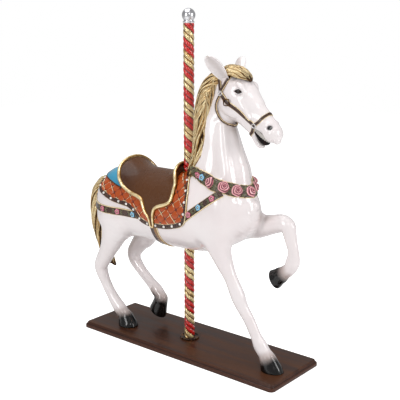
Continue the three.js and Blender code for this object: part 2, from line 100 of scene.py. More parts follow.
NEAR_HIND = [
    (-474, -44, 715, 42, 64), (-462, -50, 655, 64, 100), (-436, -84, 590, 76, 100), (-432, -92, 530, 62, 82),
    (-453, -94, 470, 48, 62), (-490, -90, 405, 37, 46), (-529, -85, 350, 33, 41), (-554, -81, 305, 31, 38),
    (-546, -80, 268, 28, 32), (-522, -79, 221, 25, 27), (-492, -79, 178, 25, 27), (-457, -78, 135, 28, 31),
    (-426, -77, 104, 30, 34), (-407, -76, 86, 29, 32), (-390, -75, 70, 33, 36),
]
FAR_HIND = [
    (-474, 44, 715, 42, 64), (-462, 50, 655, 64, 100), (-425, 86, 580, 76, 100), (-395, 94, 510, 60, 84),
    (-408, 94, 450, 48, 60), (-439, 92, 415, 40, 47), (-463, 90, 385, 35, 42), (-482, 87, 350, 33, 39),
    (-474, 84, 318, 29, 34), (-450, 82, 290, 26, 30), (-413, 80, 258, 24, 27), (-355, 76, 218, 24, 27),
    (-315, 73, 190, 29, 32), (-290, 72, 165, 28, 31), (-281, 71, 146, 32, 35),
]
MANE_LINE = [
    (198, -10, 1303, 22, 26), (153, -24, 1284, 37, 36), (121, -39, 1238, 41, 41), (98, -46, 1180, 36, 39),
    (86, -50, 1110, 31, 35), (85, -56, 1030, 29, 32), (83, -64, 960, 26, 29), (72, -72, 905, 23, 26),
    (51, -76, 864, 18, 20), (26, -76, 834, 7, 8),
]
FORELOCK_LINE = [
    (178, -2, 1304, 36, 22), (212, -3, 1316, 47, 25), (254, -5, 1311, 47, 22), (293, -6, 1295, 35, 16),
    (321, -9, 1279, 11, 6),
]
TAIL_LINE = [
    (-560, 0, 742, 20, 20), (-600, 0, 724, 28, 28), (-636, 0, 672, 38, 32), (-648, 0, 590, 43, 35),
    (-640, 0, 500, 42, 34), (-618, 0, 425, 37, 29), (-598, 0, 362, 31, 24), (-572, 4, 318, 24, 18),
    (-540, 8, 290, 8, 8),
]
# Hooves: coronet, sole centre, the way the sole faces, and size.
HOOVES = [
    ((466, -57, 82), (488, -55, 30.3), (0, 0, -1), 1.0),
    ((-390, -75, 70), (-374, -77, 30.3), (0, 0, -1), 1.04),
    ((446, 72, 432), (408, 71, 402), (-0.87, 0, -0.5), 0.86),
    ((-281, 71, 146), (-304, 70, 80), (-0.53, 0, -0.85), 0.94),
]
# White left below each coronet.
HOOF_BARE = (17, 0, 0, 0)
HOOF = {"coronet": 37.0, "sole": 47.0}

# ---------------------------------------------------------------- curves and fields


# Muscles of each side: how softly they blend, then the stations.
BODY_MUSCLES = [
    (36, (206, 92, 850, 12, 18), (214, 96, 800, 28, 44), (206, 106, 720, 32, 60), (184, 100, 640, 14, 30)),
    (30, (272, 36, 760, 8, 12), (286, 44, 715, 26, 34), (268, 54, 655, 10, 16)),
    (40, (-440, 70, 760, 24, 32), (-446, 92, 700, 52, 74), (-440, 100, 630, 34, 52)),
    (40, (-376, 100, 600, 18, 26), (-372, 106, 560, 34, 40), (-388, 104, 510, 18, 26)),
    (26, (188, 40, 1080, 10, 14), (206, 52, 980, 20, 26), (238, 68, 880, 22, 28), (262, 66, 800, 12, 16)),
    (34, (106, 44, 1110, 8, 26), (92, 60, 980, 12, 42), (92, 80, 880, 14, 46)),
]
# Muscles of the face: blend, how far to the side, then stations as in FACE.
CHEEK_MUSCLES = [
    (10, 40, (34, -48, 10, 16), (62, -46, 20, 38), (98, -42, 24, 44), (138, -38, 16, 34), (165, -36, 8, 14)),
    (12, 47, (70, 60, 7, 7), (96, 63, 15, 13), (126, 52, 7, 7)),
    (12, 47, (118, 14, 5, 5), (160, 6, 9, 8), (214, -8, 4, 5)),
    (12, 25, (278, 26, 8, 8), (300, 27, 15, 18), (322, 18, 8, 10)),
]
# Dishes in each side of the face: along, up, aside, half length, half breadth and turn in degrees.
NOSTRIL = (306, 31, 42, 15, 12.5, 58)
SOCKET = (99, 39, 54, 27, 17, 39)
NOSTRIL_DEPTH = 10
SOCKET_DEPTH = 4.5
VOXEL = 6.3
SIDES = {"near": -1, "far": 1}


def circle(count):
    """Angles evenly round a circle."""
    return np.linspace(0, 2 * np.pi, count, endpoint=False)


def unit(v):
    """Each row divided by its own length."""
    return v / np.maximum(np.linalg.norm(v, axis=-1, keepdims=True), 1e-9)


def smooth(knots, count):
    """Centripetal Catmull-Rom curve through the knots: a cubic on each span, its tangents from the spans
    beside it."""
    p = np.asarray(knots, float)
    n = len(p) - 1
    at = np.linspace(0, n, count)
    i = np.clip(np.floor(at).astype(int), 0, n - 1)
    w = (at - i)[:, None]
    q = np.vstack([2 * p[0] - p[1], p, 2 * p[-1] - p[-2]])
    p0, p1, p2, p3 = (q[i + k] for k in range(4))
    span = lambda a, b: np.maximum(np.sum((a - b) ** 2, axis=1) ** 0.25, 1e-4)[:, None]
    a, b, c = span(p0, p1), span(p1, p2), span(p2, p3)
    t1 = ((p1 - p0) / a - (p2 - p0) / (a + b) + (p2 - p1) / b) * b
    t2 = ((p2 - p1) / b - (p3 - p1) / (b + c) + (p3 - p2) / c) * b
    return p1 + t1 * w + (3 * (p2 - p1) - 2 * t1 - t2) * w**2 + (2 * (p1 - p2) + t1 + t2) * w**3


def limb(stations, blend=45.0, samples=48, cut=None):
    """A limb: elliptical sections square to a smooth spine. cut is (point, normal) of a plane that ends
    it."""
    table = np.asarray(stations, float)
    spine, size = smooth(table[:, :3], samples), smooth(table[:, 3:5], samples)
    along = unit(np.gradient(spine, axis=0))
    across = unit(np.array([0, 1.0, 0]) - along * along[:, 1:2])
    return {
        "spine": spine, "size": size, "along": along, "across": across, "deep": np.cross(across, along),
        "blend": blend, "cut": cut, "low": spine.min(0) - size.max(), "high": spine.max(0) + size.max(),
        "step": np.linalg.norm(np.gradient(spine, axis=0), axis=1),
    }


def limb_distance(points, part):
    """About how far points are outside a limb: (k - 1) k / g, where k is the point's reach over the ellipse
    of its section and g the reach's slope."""
    near = np.argmin(((points[:, None, :] - part["spine"][None]) ** 2).sum(2), axis=1)
    off = points - part["spine"][near]
    at = near + (off * part["along"][near]).sum(1) / part["step"][near]
    at = np.clip(at, 0, len(part["spine"]) - 1.0)
    i = np.minimum(at.astype(int), len(part["spine"]) - 2)
    w = (at - i)[:, None]
    mix = lambda key: part[key][i] * (1 - w) + part[key][i + 1] * w
    off = points - mix("spine")
    x, y, z = ((off * mix(key)).sum(1) for key in ("across", "deep", "along"))
    a, b = mix("size").T
    c = np.minimum(a, b) * 0.8
    k = np.sqrt((x / a) ** 2 + (y / b) ** 2 + (z / c) ** 2)
    g = np.sqrt((x / a**2) ** 2 + (y / b**2) ** 2 + (z / c**2) ** 2) + 1e-9
    d = k * (k - 1) / g
    if part["cut"] is not None:
        centre, normal = part["cut"]
        d = np.maximum(d, (points - centre) @ normal)
    return d


FAR = 90.0


MARGIN = 70.0


def field(points, parts):
    """Smooth minimum of the limbs' distances: min(a, b) - max(k - |a - b|, 0)^2 / 4k, one limb after another.
    Beyond MARGIN from a limb's box the distance counts as FAR."""
    total = np.full(len(points), FAR)
    for part in parts:
        near = np.all((points > part["low"] - MARGIN) & (points < part["high"] + MARGIN), axis=1)
        d = np.full(len(points), FAR)
        if near.any():
            d[near] = np.minimum(limb_distance(points[near], part), FAR)
        over = np.maximum(part["blend"] - np.abs(total - d), 0) / part["blend"]
        total = np.minimum(total, d) - over**2 * part["blend"] / 4
    return total


def slope(points, parts, step=0.8):
    """The field and its unit gradient, from a step along each axis."""
    here = field(points, parts)
    grad = np.stack([field(points + step * e, parts) - here for e in np.eye(3)], axis=1)
    return here, unit(grad)


def skin(start, towards, parts, rounds=16):
    """Points where rays from inside the body come out through its skin."""
    p = start.reshape(-1, 3).astype(float).copy()
    d = np.broadcast_to(towards, start.shape).reshape(-1, 3)
    for _ in range(rounds):
        p -= d * np.clip(field(p, parts), -70, 30)[:, None] * 0.85
    return p.reshape(start.shape)


def settle(points, parts, rounds=3):
    """Points moved along the field's gradient onto the skin, and the skin's normals there."""
    p, _ = ease_on(points.reshape(-1, 3).astype(float), parts, rounds, 25)
    return p.reshape(points.shape), slope(p, parts)[1].reshape(points.shape)


def faced(rows):
    """Places on the head, from along the face and up from its axis, turned by the head's pitch."""
    rows = np.atleast_2d(np.asarray(rows, float))
    tilt = math.radians(HEAD["pitch"])
    x = HEAD["x"] + rows[:, 0] * math.cos(tilt) + rows[:, 1] * math.sin(tilt)
    z = HEAD["z"] - rows[:, 0] * math.sin(tilt) + rows[:, 1] * math.cos(tilt)
    return x, z


def face_limb(rows, y=0.0, **kw):
    """A limb whose stations run down the face."""
    x, z = faced(rows)
    return limb([(a, y, c, *row[2:]) for a, c, row in zip(x, z, rows)], **kw)


def hoof_limb(coronet, sole, facing, grown):
    """A hoof flares from the coronet to past its sole, and is cut flat there."""
    top, low, n = np.array(coronet, float), np.array(sole, float), unit(np.array(facing, float))
    r0, r1 = HOOF["coronet"] * grown, HOOF["sole"] * grown
    flare = ((-0.25, r0 * 0.72), (0.12, r0 * 0.98), (0.6, (r0 + r1) / 2), (1.0, r1 * 0.99), (1.5, r1))
    rows = [(*(top + (low - top) * t), r * 0.94, r * 1.1) for t, r in flare]
    return limb(rows, blend=10, samples=24, cut=(low, n))


def make_parts():
    """All the limbs of the horse, in groups: from the barrel that the saddle lies on to the whole for the
    skin."""
    muscles = [limb(np.array(rows) * [1, side, 1, 1, 1], blend, 20)
               for blend, *rows in BODY_MUSCLES for side in SIDES.values()]
    cheeks = [face_limb(rows, y * side, blend=blend, samples=16)
              for blend, y, *rows in CHEEK_MUSCLES for side in SIDES.values()]
    trunk, neck = limb(TRUNK, blend=1), limb(NECK, blend=60)
    hind = [limb(NEAR_HIND), limb(FAR_HIND)]
    fore = [limb(NEAR_FORE), limb(FAR_FORE)]
    head, jaw = face_limb(FACE, blend=34), face_limb(JAW, blend=12)
    hooves = [hoof_limb(*h) for h in HOOVES]
    return {
        "barrel": [trunk, neck, *hind],
        "torso": [trunk, neck, *hind, *muscles],
        "trappings": [trunk, neck, *fore, *hind, *muscles],
        "skull": [head, jaw, *cheeks, neck],
        "whole": [trunk, neck, head, *fore, *hind, *muscles, *cheeks, jaw, *hooves],
    }


PARTS = make_parts()

# ---------------------------------------------------------------- meshes


def listed(faces):
    """Faces as plain lists."""
    return faces.tolist() if isinstance(faces, np.ndarray) else list(faces)


def mark(mesh, attributes):
    """Float attributes on the mesh's points."""
    for key, values in attributes.items():
        layer = mesh.attributes.new(key, "FLOAT", "POINT")
        layer.data.foreach_set("value", np.asarray(values, np.float32).ravel())


def shade_smooth(mesh):
    """Smooth shading on every face."""
    mesh.polygons.foreach_set("use_smooth", np.ones(len(mesh.polygons), bool))
    mesh.update()


def mesh_object(name, points, faces, attributes=None):
    """An object whose mesh holds points given in mm, with float attributes on its points."""
    mesh = bpy.data.meshes.new(name)
    mesh.from_pydata((np.asarray(points, float).reshape(-1, 3) * MM).tolist(), [], listed(faces))
    mark(mesh, attributes or {})
    mesh.validate()
    shade_smooth(mesh)
    obj = bpy.data.objects.new(name, mesh)
    bpy.context.scene.collection.objects.link(obj)
    return obj


def grid_faces(rows, columns, around=False, base=0):
    """Quads of a grid of points, row by row; around joins the last column to the first."""
    i, j = np.meshgrid(np.arange(rows - 1), np.arange(columns if around else columns - 1), indexing="ij")
    a = i * columns + j
    b = i * columns + (j + 1) % columns
    return base + np.stack([a, b, b + columns, a + columns], axis=-1).reshape(-1, 4)


def hoop_faces(rows, columns):
    """Quads of a grid that is joined to itself both ways."""
    return grid_faces(rows + 1, columns, around=True) % (rows * columns)


def sheet_faces(rows, columns):
    """Faces of a closed sheet: a grid of upper points, the same of lower points, and a strip along their
    edges."""
    count = rows * columns
    quads = grid_faces(rows, columns)
    i = np.arange(count).reshape(rows, columns)
    rim = np.concatenate([i[0, :-1], i[:-1, -1], i[-1, :0:-1], i[:0:-1, 0]])
    after = np.roll(rim, -1)
    return np.concatenate([quads, quads[:, ::-1] + count,
                           np.stack([rim, after, after + count, rim + count], axis=1)])


def rings_round(line, side, up, angles):
    """Rings round a line: point + side cos(a) + up sin(a)."""
    side, up = np.broadcast_to(side, line.shape), np.broadcast_to(up, line.shape)
    return line[:, None] + side[:, None] * np.cos(angles)[:, None] + up[:, None] * np.sin(angles)[:, None]


def tube_mesh(rings):
    """Points and faces of a closed tube: rings of shape (n, m, 3), each end closed to a point at its
    middle."""
    n, m, _ = rings.shape
    points = np.vstack([rings.reshape(-1, 3), rings[0].mean(0), rings[-1].mean(0)])
    j = np.arange(m)
    k = (j + 1) % m
    first = np.stack([np.full(m, n * m), k, j], axis=1)
    last = np.stack([np.full(m, n * m + 1), (n - 1) * m + j, (n - 1) * m + k], axis=1)
    return points, grid_faces(n, m, around=True).tolist() + first.tolist() + last.tolist()


def limb_rings(part, sides=24):
    """Rings of a limb, an ellipse at each point of its spine."""
    size = part["size"]
    return rings_round(part["spine"], part["across"] * size[:, :1], part["deep"] * size[:, 1:], circle(sides))


def edit_mesh(obj, change):
    """Runs the change on an editable copy of the object's mesh and puts it back."""
    bm = bmesh.new()
    bm.from_mesh(obj.data)
    change(bm)
    bm.to_mesh(obj.data)
    bm.free()
    return obj


def outward(obj):
    """Turns a closed mesh's faces outwards."""
    return edit_mesh(obj, lambda bm: bmesh.ops.recalc_face_normals(bm, faces=bm.faces))


def apply_modifiers(obj):
    """Replaces the object's mesh by the result of its modifiers."""
    mesh = bpy.data.meshes.new_from_object(obj.evaluated_get(bpy.context.evaluated_depsgraph_get()))
    obj.modifiers.clear()
    obj.data = mesh


def coords(mesh):
    """Mesh points in mm."""
    flat = np.empty(len(mesh.vertices) * 3)
    mesh.vertices.foreach_get("co", flat)
    return flat.reshape(-1, 3) / MM


def neighbours(mesh):
    """The two points of each edge."""
    edges = np.empty(len(mesh.edges) * 2, int)
    mesh.edges.foreach_get("vertices", edges)
    return edges.reshape(-1, 2)


def relax(points, edges, rounds=1, amount=0.5):
    """Moves each point part of the way to the mean of its neighbours."""
    for _ in range(rounds):
        total = np.zeros_like(points)
        count = np.zeros(len(points))
        for a, b in ((0, 1), (1, 0)):
            np.add.at(total, edges[:, a], points[edges[:, b]])
            np.add.at(count, edges[:, a], 1)
        points = points + amount * (total / np.maximum(count, 1)[:, None] - points)
    return points


def ease_on(points, parts, rounds, most):
    """Newton steps of at most the length given onto the blended field, and the normals of the last one."""
    for _ in range(rounds):
        d, n = slope(points, parts)
        points = points - n * np.clip(d, -most, most)[:, None]
    return points, n


def refine_head(bm):
    """Splits the head's faces once more, in front of the throat."""
    along, up = face_place(np.array([v.co[:] for v in bm.verts]) / MM)
    chosen = {v for v, a, b in zip(bm.verts, along, up) if a > 56 and b > -104}
    edges = [e for e in bm.edges if e.verts[0] in chosen and e.verts[1] in chosen]
    bmesh.ops.subdivide_edges(bm, edges=edges, cuts=1, use_grid_fill=True)


def face_place(points):
    """The inverse of faced: along the face and up from its axis."""
    tilt = math.radians(HEAD["pitch"])
    x, z = points[..., 0] - HEAD["x"], points[..., 2] - HEAD["z"]
    return x * math.cos(tilt) - z * math.sin(tilt), x * math.sin(tilt) + z * math.cos(tilt)


def hollow(points, s, up, y, long, short, turn):
    """A soft dish on each side of the face: exp(-(e^2)^1.5), with e the distance over an ellipse turned by
    turn."""
    a, b = face_place(points)
    a, b = a - s, b - up
    c, t = math.cos(math.radians(turn)), math.sin(math.radians(turn))
    deep = (np.abs(points[..., 1]) - y) / 34
    e = ((a * c + b * t) / long) ** 2 + ((b * c - a * t) / short) ** 2 + deep ** 4
    return np.exp(-e**1.5)


def hoof_depth(points):
    """How far below the coronet each point is, along its own hoof, less the white left bare there; -200 away
    from every hoof."""
    depth = np.full(len(points), -200.0)
    for (coronet, sole, _, grown), bare in zip(HOOVES, HOOF_BARE):
        top = np.array(coronet, float)
        down = unit(np.array(sole, float) - top)
        off = points - top
        run = off @ down
        near = (np.linalg.norm(off - run[:, None] * down, axis=1) < 74 * grown) & (run > -150) & (run < 110)
        depth[near] = np.maximum(depth[near], run[near] - bare)
    return depth


def body_mesh():
    """The horse's skin: the limbs are joined into one even mesh, then eased onto the blended field, with
    sockets for the eyes and hollow nostrils. The mark folds is how much skin stands in front of a point, 26
    and 80 mm out; the enamel darkens there as painted shade."""
    joined, whole = Pile(), PARTS["whole"]
    for part in whole:
        joined.add(*tube_mesh(limb_rings(part)))
    obj = joined.done("horse_body")
    remesh = obj.modifiers.new("even", "REMESH")
    remesh.mode = "VOXEL"
    remesh.voxel_size = VOXEL * MM
    apply_modifiers(obj)
    points, edges = coords(obj.data), neighbours(obj.data)
    for rounds in (1, 1, 2):
        points, _ = ease_on(points, whole, rounds, 22)
        points = relax(points, edges, 1, 0.4)
    obj.data.vertices.foreach_set("co", (points * MM).ravel())
    mesh = edit_mesh(obj, refine_head).data
    points, n = ease_on(relax(coords(mesh), neighbours(mesh), 1, 0.3), whole, 1, 6)
    folds = sum(np.clip(1 - field(points + n * reach, whole) / reach, 0, 1) for reach in (26, 80)) / 2
    folds = relax(folds[:, None], neighbours(mesh), 8)
    nostril, socket = hollow(points, *NOSTRIL), hollow(points, *SOCKET)
    points = points - n * (nostril * NOSTRIL_DEPTH + socket * SOCKET_DEPTH)[:, None]
    mesh.vertices.foreach_set("co", (points * MM).ravel())
    mark(mesh, {"nostril": nostril, "socket": socket, "folds": folds, "hoof": hoof_depth(points)})
    shade_smooth(mesh)
    return obj


# ---------------------------------------------------------------- places on the torso


def centre_z(x):
    """Height of the barrel's middle at x."""
    return np.interp(x, [-640, -90, 50, 150, 235, 345], [652, 656, 658, 672, 700, 738])


def on_torso(x, angle, parts="torso"):
    """Skin point at x, and at an angle from the back's top: the ray (0, -sin a, cos a) from the barrel's
    middle."""
    x, angle = np.broadcast_arrays(np.asarray(x, float), np.radians(np.asarray(angle, float)))
    start = np.stack([x, 0 * x, centre_z(x)], axis=-1)
    return skin(start, np.stack([0 * x, -np.sin(angle), np.cos(angle)], axis=-1), PARTS[parts])


def grid_normals(grid):
    """Normals of a grid of points: the cross product of its two slopes."""
    return unit(np.cross(np.gradient(grid, axis=1), np.gradient(grid, axis=0)))


def torso_normals(grid):
    """Normals of a grid on the torso, turned away from the barrel's middle."""
    x = grid[..., 0]
    normals = grid_normals(grid)
    out = grid - np.stack([x, 0 * x, centre_z(x)], axis=-1)
    return normals * np.sign((normals * out).sum(-1))[..., None]


def along(points):
    """Length run from the first point to each."""
    return np.concatenate([[0], np.cumsum(np.linalg.norm(np.diff(points, axis=0), axis=1))])


def evenly(points, spacing):
    """The same line with points spacing apart."""
    run = along(points)
    at = np.linspace(0, run[-1], max(int(round(run[-1] / spacing)), 2) + 1)
    return np.stack([np.interp(at, run, points[:, k]) for k in range(3)], axis=1)


def band(knots, width, parts, across=13, step=5.0, lift=0.0):
    """A band laid on the skin. The knots' curve is settled on the skin; each row spreads sideways along
    normal x direction and is settled again. Gives the grid, its normals, the run along it and the place
    across, -1 to 1."""
    line, _ = settle(evenly(smooth(knots, 240), step), PARTS[parts])
    line, n = settle(evenly(line, step), PARTS[parts], 1)
    side = unit(np.cross(n, np.gradient(line, axis=0)))
    u = np.linspace(-1, 1, across)
    grid, normals = settle(line[:, None] + side[:, None] * u[:, None] * (width / 2), PARTS[parts])
    grid = grid + normals * lift
    run = np.broadcast_to(along(line)[:, None], grid.shape[:2])
    return {"grid": grid, "normals": normals, "run": run, "side": np.broadcast_to(u, grid.shape[:2]),
            "line": line}


def slab(name, grid, normals, top, under, marks=None):
    """A closed sheet on a grid: its upper face is grid + normals * top, its lower face grid - normals *
    under, and a strip joins their edges. marks are float attributes given on the grid."""
    shape = grid.shape[:2]
    face = lambda height: (grid + normals * np.broadcast_to(height, shape)[..., None]).reshape(-1, 3)
    marks = {key: np.tile(np.broadcast_to(value, shape).ravel(), 2) for key, value in (marks or {}).items()}
    return outward(mesh_object(name, np.concatenate([face(top), face(np.negative(under))]),
                               sheet_faces(*shape), marks))


def tube(line, radius, sides):
    """Rings of one radius round a line."""
    way = unit(np.gradient(line, axis=0))
    side = unit(np.cross([0, 0, 1.0], way))
    return rings_round(line, side * radius, np.cross(way, side) * radius, circle(sides))


class Pile:
    """Points, faces and marks gathered into one mesh."""

    def __init__(self):
        self.points, self.faces, self.marks, self.count = [], [], {}, 0

    def add(self, points, faces, **marks):
        """Adds points and faces. A mark is one number, or one for each point; where none is given it is 0."""
        points = np.asarray(points, float).reshape(-1, 3)
        self.points.append(points)
        self.faces += [[v + self.count for v in face] for face in listed(faces)]
        for key in {*marks, *self.marks}:
            value = np.ravel(marks.get(key, 0.0))
            value = np.full(len(points), value[0]) if value.size == 1 else value
            self.marks.setdefault(key, [np.zeros(self.count)]).append(value)
        self.count += len(points)

    def add_tube(self, rings, **marks):
        """Adds a closed tube, whose marks are given on its rings."""
        full = {}
        for key, value in marks.items():
            value = np.broadcast_to(value, rings.shape[:2])
            full[key] = np.concatenate([value.ravel(), [value[0].mean()], [value[-1].mean()]])
        self.add(*tube_mesh(rings), **full)

    def scatter(self, template, places, normals, heads, size):
        """Copies of a template, each turned so that its z is the normal and its x the heading."""
        points, faces, marks = template
        normals = unit(np.asarray(normals, float))
        heads = unit(heads - normals * (heads * normals).sum(1, keepdims=True))
        turns = np.stack([heads, np.cross(normals, heads), normals], axis=1)
        for place, turn, scale in zip(places, turns, np.broadcast_to(size, (len(places),))):
            self.add(place + points @ turn * scale, faces, **marks)

    def done(self, name):
        """The object made of all that was added."""
        marks = {key: np.concatenate(values) for key, values in self.marks.items()}
        return outward(mesh_object(name, np.concatenate(self.points), self.faces, marks))


def dome_grid(rings, sides):
    """Radius from above 0 to 1, and angle, of a button's rings."""
    return np.meshgrid(np.linspace(0, 1, rings + 1)[1:], circle(sides), indexing="ij")


def dome(rings, sides, outline, height, under=-0.12):
    """A closed button on the unit circle. Radius outline(a) v, height given by height(v, a); its foot
    sinks."""
    v, a = dome_grid(rings, sides)
    x, y = v * outline(a) * np.cos(a), v * outline(a) * np.sin(a)
    top = np.stack([x, y, height(v, a)], axis=-1).reshape(-1, 3)
    foot = np.stack([x[-1], y[-1], np.full(sides, under)], axis=-1)
    tip = [[0, 0, height(np.zeros(1), np.zeros(1))[0]]]
    j = np.arange(sides)
    fan = np.stack([0 * j, 1 + j, 1 + (j + 1) % sides], axis=1)
    bottom = (1 + rings * sides + j)[::-1]
    faces = fan.tolist() + grid_faces(rings + 1, sides, around=True, base=1).tolist() + [bottom.tolist()]
    return np.vstack([tip, top, foot]), faces, {"radial": np.concatenate([[0], v.ravel(), np.ones(sides)])}


def flower_template():
    """Five round petals about a button: outline 0.74 + 0.26 |cos(2.5 a)|^0.6, with a groove between
    petals."""
    petal = lambda a: np.abs(np.cos(2.5 * a))
    outline = lambda a: 0.74 + 0.26 * petal(a) ** 0.6
    height = lambda v, a: np.where(v < 0.28, 0.42 - v,
                                   0.18 + 0.2 * np.sin(np.pi * v) * (0.5 + 0.5 * petal(a)))
    return dome(6, 30, outline, height)


def rose_template():
    """A full rose. Petals follow a spiral: the step s = fract(3.3 v^0.9 - a / 2 pi + wobble) rises towards
    each edge, on a dome 0.6 (1 - v^2.2)."""
    def step(v, a):
        turn = 3.3 * v**0.9 - a / (2 * np.pi) + 0.10 * np.sin(3 * a + 5 * v)
        return turn - np.floor(turn)

    rings, sides = 26, 60
    outline = lambda a: 1 - 0.10 * np.abs(np.sin(2.5 * a + 0.4)) ** 0.7
    height = lambda v, a: 0.60 * (1 - v**2.2) + 0.16 * step(v, a) ** 2 * (1 - 0.5 * v) + 0.02
    points, faces, marks = dome(rings, sides, outline, height)
    marks["edge"] = np.concatenate([[0.5], step(*dome_grid(rings, sides)).ravel(), np.zeros(sides)])
    return points, faces, marks


def leaf_template():
    """A pointed leaf with a keel: half width 0.4 sin(pi t)^0.8 (1.15 - 0.5 t), hollow each side of its
    midrib."""
    t, w = np.meshgrid(np.linspace(0, 1, 9), np.linspace(-1, 1, 7), indexing="ij")
    half = 0.40 * np.sin(np.pi * np.clip(t, 0.02, 0.985)) ** 0.8 * (1.15 - 0.5 * t)
    z = 0.10 + 0.10 * np.sin(np.pi * t) + 0.10 * (1 - np.abs(w)) + 0.08 * w**2 - 0.05 * t
    upper = np.stack([t * 1.6 - 0.8, half * w, z], axis=-1).reshape(-1, 3)
    lower = upper * [1, 1, 0] + [0, 0, -0.12]
    return np.concatenate([upper, lower]), sheet_faces(*t.shape), {"radial": np.tile(np.abs(w).ravel(), 2)}


def pearl_template():
    """A half ball whose foot sinks."""
    return dome(5, 14, np.ones_like, lambda v, a: np.sqrt(np.maximum(1 - v**2, 0)), under=-0.4)


# ---------------------------------------------------------------- hair


def wound_lock(core, start, end, angle, turn, wide, thick, strands=5, steps=40, sides=30, ride=0.8, flick=0.0,
               tip=0.55, sway=0.0, waves=2.0):
    """A lock of hair on an elliptical core. Its middle runs on the core's surface at angle + turn t, plus a
    sway of sin(2 pi waves t + angle); its section is an ellipse with ridges, 0.84 + 0.16 |cos(strands a /
    2)|, and it swells, then tapers to its tip. The groove mark is glaze and painted shade between the ridges,
    and painted shade down the lock's flanks."""
    last = len(core["spine"]) - 1
    t = np.linspace(0, 1, steps)
    at = (start + (end - start) * t) * last
    pick = lambda key: np.stack([np.interp(at, np.arange(last + 1), column) for column in core[key].T],
                                axis=1)
    centre, size, across, deep = pick("spine"), pick("size"), unit(pick("across")), unit(pick("deep"))
    a = np.radians(angle + turn * t + sway * np.sin(2 * np.pi * waves * t + angle))[:, None]
    out = unit(across * np.cos(a) * size[:, 1:] + deep * np.sin(a) * size[:, :1])
    reach = (across * np.cos(a) * size[:, :1] + deep * np.sin(a) * size[:, 1:]) * ride
    line = centre + reach + out * (flick * np.clip(t - 0.6, 0, 1) ** 1.6 * 2.5)[:, None]
    swell = np.minimum(1, 0.55 + 1.6 * t) * np.clip((1 - t) / (1 - tip), 0.0, 1) ** 0.62
    way = unit(np.gradient(line, axis=0))
    side = unit(np.cross(out, way))
    b = circle(sides)
    ridge = np.abs(np.cos(strands * b / 2 + 1.2 * np.sin(2.2 * np.pi * t)[:, None]))
    grown = (0.84 + 0.16 * ridge) * np.maximum(swell, 0.04)[:, None]
    rings = line[:, None] + (rings_round(0 * line, side * wide, np.cross(way, side) * thick,
                                         b)) * grown[..., None]
    # Painted shade: all of the section but its outer crest is marked darker, where locks lie against each
    # other and the core.
    flank_shade = np.clip(2.1 * (0.9 - np.sin(b)), 0, 1.15)
    return rings, {"groove": 0.4 * (1 - ridge) + flank_shade, "strand": np.abs(b / np.pi - 1),
                   "run": along(line)[:, None] * MM}

# ---------------------------------------------------------------- harness lines
# Each line is given by x and the angle from the back's top.

QUILT_EDGE = [
    (-490, 12, -492), (-490, 30, -487), (-488, 45, -478), (-480, 57, -466), (-460, 65, -450),
    (-434, 69, -430), (-390, 75, -392), (-335, 78, -345), (-275, 81, -292), (-233, 89, -250),
    (-199, 102, -215), (-155, 107, -165), (-92, 107, -110), (-45, 106, -75), (7, 102, -45), (45, 97, -28),
    (61, 91, -20), (68, 76, -14), (64, 59, -10), (57, 44, -6), (42, 30, -2), (26, 18, 2), (12, 8, 6),
]
SADDLE_REAR = [
    (0, -378), (20, -378), (35, -366), (50, -331), (59, -277), (63, -227), (67, -194), (77, -176), (87, -161),
    (96, -138), (110, -134),
]
SADDLE_FRONT = [
    (0, -60), (15, -48), (29, -27), (48, -14), (61, -14), (69, -42), (74, -84), (81, -108), (92, -113),
    (110, -115),
]
BREECHING = [(-222, 97), (-300, 97), (-390, 97), (-470, 96), (-545, 94), (-600, 92)]
BREAST = [(62, 88), (86, 82), (140, 69), (204, 59), (250, 49)]
GARLAND = [(0, 801), (24, 811), (46, 828), (74, 840), (104, 856), (132, 876), (156, 890), (180, 895)]
ROSE_TURNS = (-72, -46, -23, -3, 18, 40, 64)
BUD_TURNS = ((-103, "blue"), (-115, "rose"), (-150, "rose"), (98, "blue"), (112, "rose"), (130, "blue"),
             (146, "rose"))
# Bridle on the near side, mirrored for the far side, as x, y, z.
CROWN = [(199, -59, 1230), (196, -57, 1248), (189, -52, 1268), (180, -42, 1282), (174, -20, 1300),
         (174, 0, 1306)]
BROWBAND = [(199, -59, 1230), (210, -58, 1248), (218, -51, 1266), (222, -42, 1281), (226, -22, 1300),
            (230, 0, 1306)]
THROAT = [
    (194, -59, 1212), (181, -56, 1185), (176, -51, 1155), (180, -47, 1129), (190, -43, 1109),
    (202, -36, 1098), (210, -20, 1092), (213, 0, 1090),
]
# Cheek strap and noseband, as along the face and up from its axis.
CHEEK = [(41, -24), (95, -28), (141, -21), (190, -20), (242, -18)]
NOSE_SIDE = [(250, -45), (246, -18), (252, 10), (253, 40)]
RINGS = [(41, -24), (246, -18)]
# Small flowers on the straps, by x, and the sprays of leaves beside each: ahead, across and turn.
BREECHING_FLOWERS = ((-253, "blue"), (-354, "rose"), (-449, "rose"))
BREAST_FLOWERS = ((94, "rose"), (145, "blue"), (212, "rose"))
# How far round the saddle's flaps hang, in degrees from the back's top.
SADDLE_REACH = 111
# The quilt's diamonds, and the barrel's radius that its angles are turned into lengths with.
DIAMOND = 54.0
BARREL_RADIUS = 168.0
PATCH_THICK = 11.5
# One ear: x, aside, z, half depth and half width.
EAR = [
    (212, 38, 1280, 11, 14), (206, 46, 1292, 13, 20), (197, 61, 1314, 15, 28), (187, 80, 1338, 14, 32),
    (177, 96, 1357, 11, 28), (170, 105, 1368, 8, 19), (167, 110, 1375, 3, 8),
]
# How far each ear's tip leans from the table, and how wide the ear is.
EAR_LEAN = {-1: ((-3.0, 3.0, 5.0), 1.0), 1: ((2.0, -2.0, -11.0), 1.2)}
BUCKLE_AT = (92, -28)
EYE_AT = (99, 41)
MOUTH_LINING = [
    (212, -32, 22, 10), (240, -36, 27, 15), (270, -40, 27, 22), (300, -42, 26, 24), (322, -42, 20, 20),
    (334, -40, 8, 9),
]
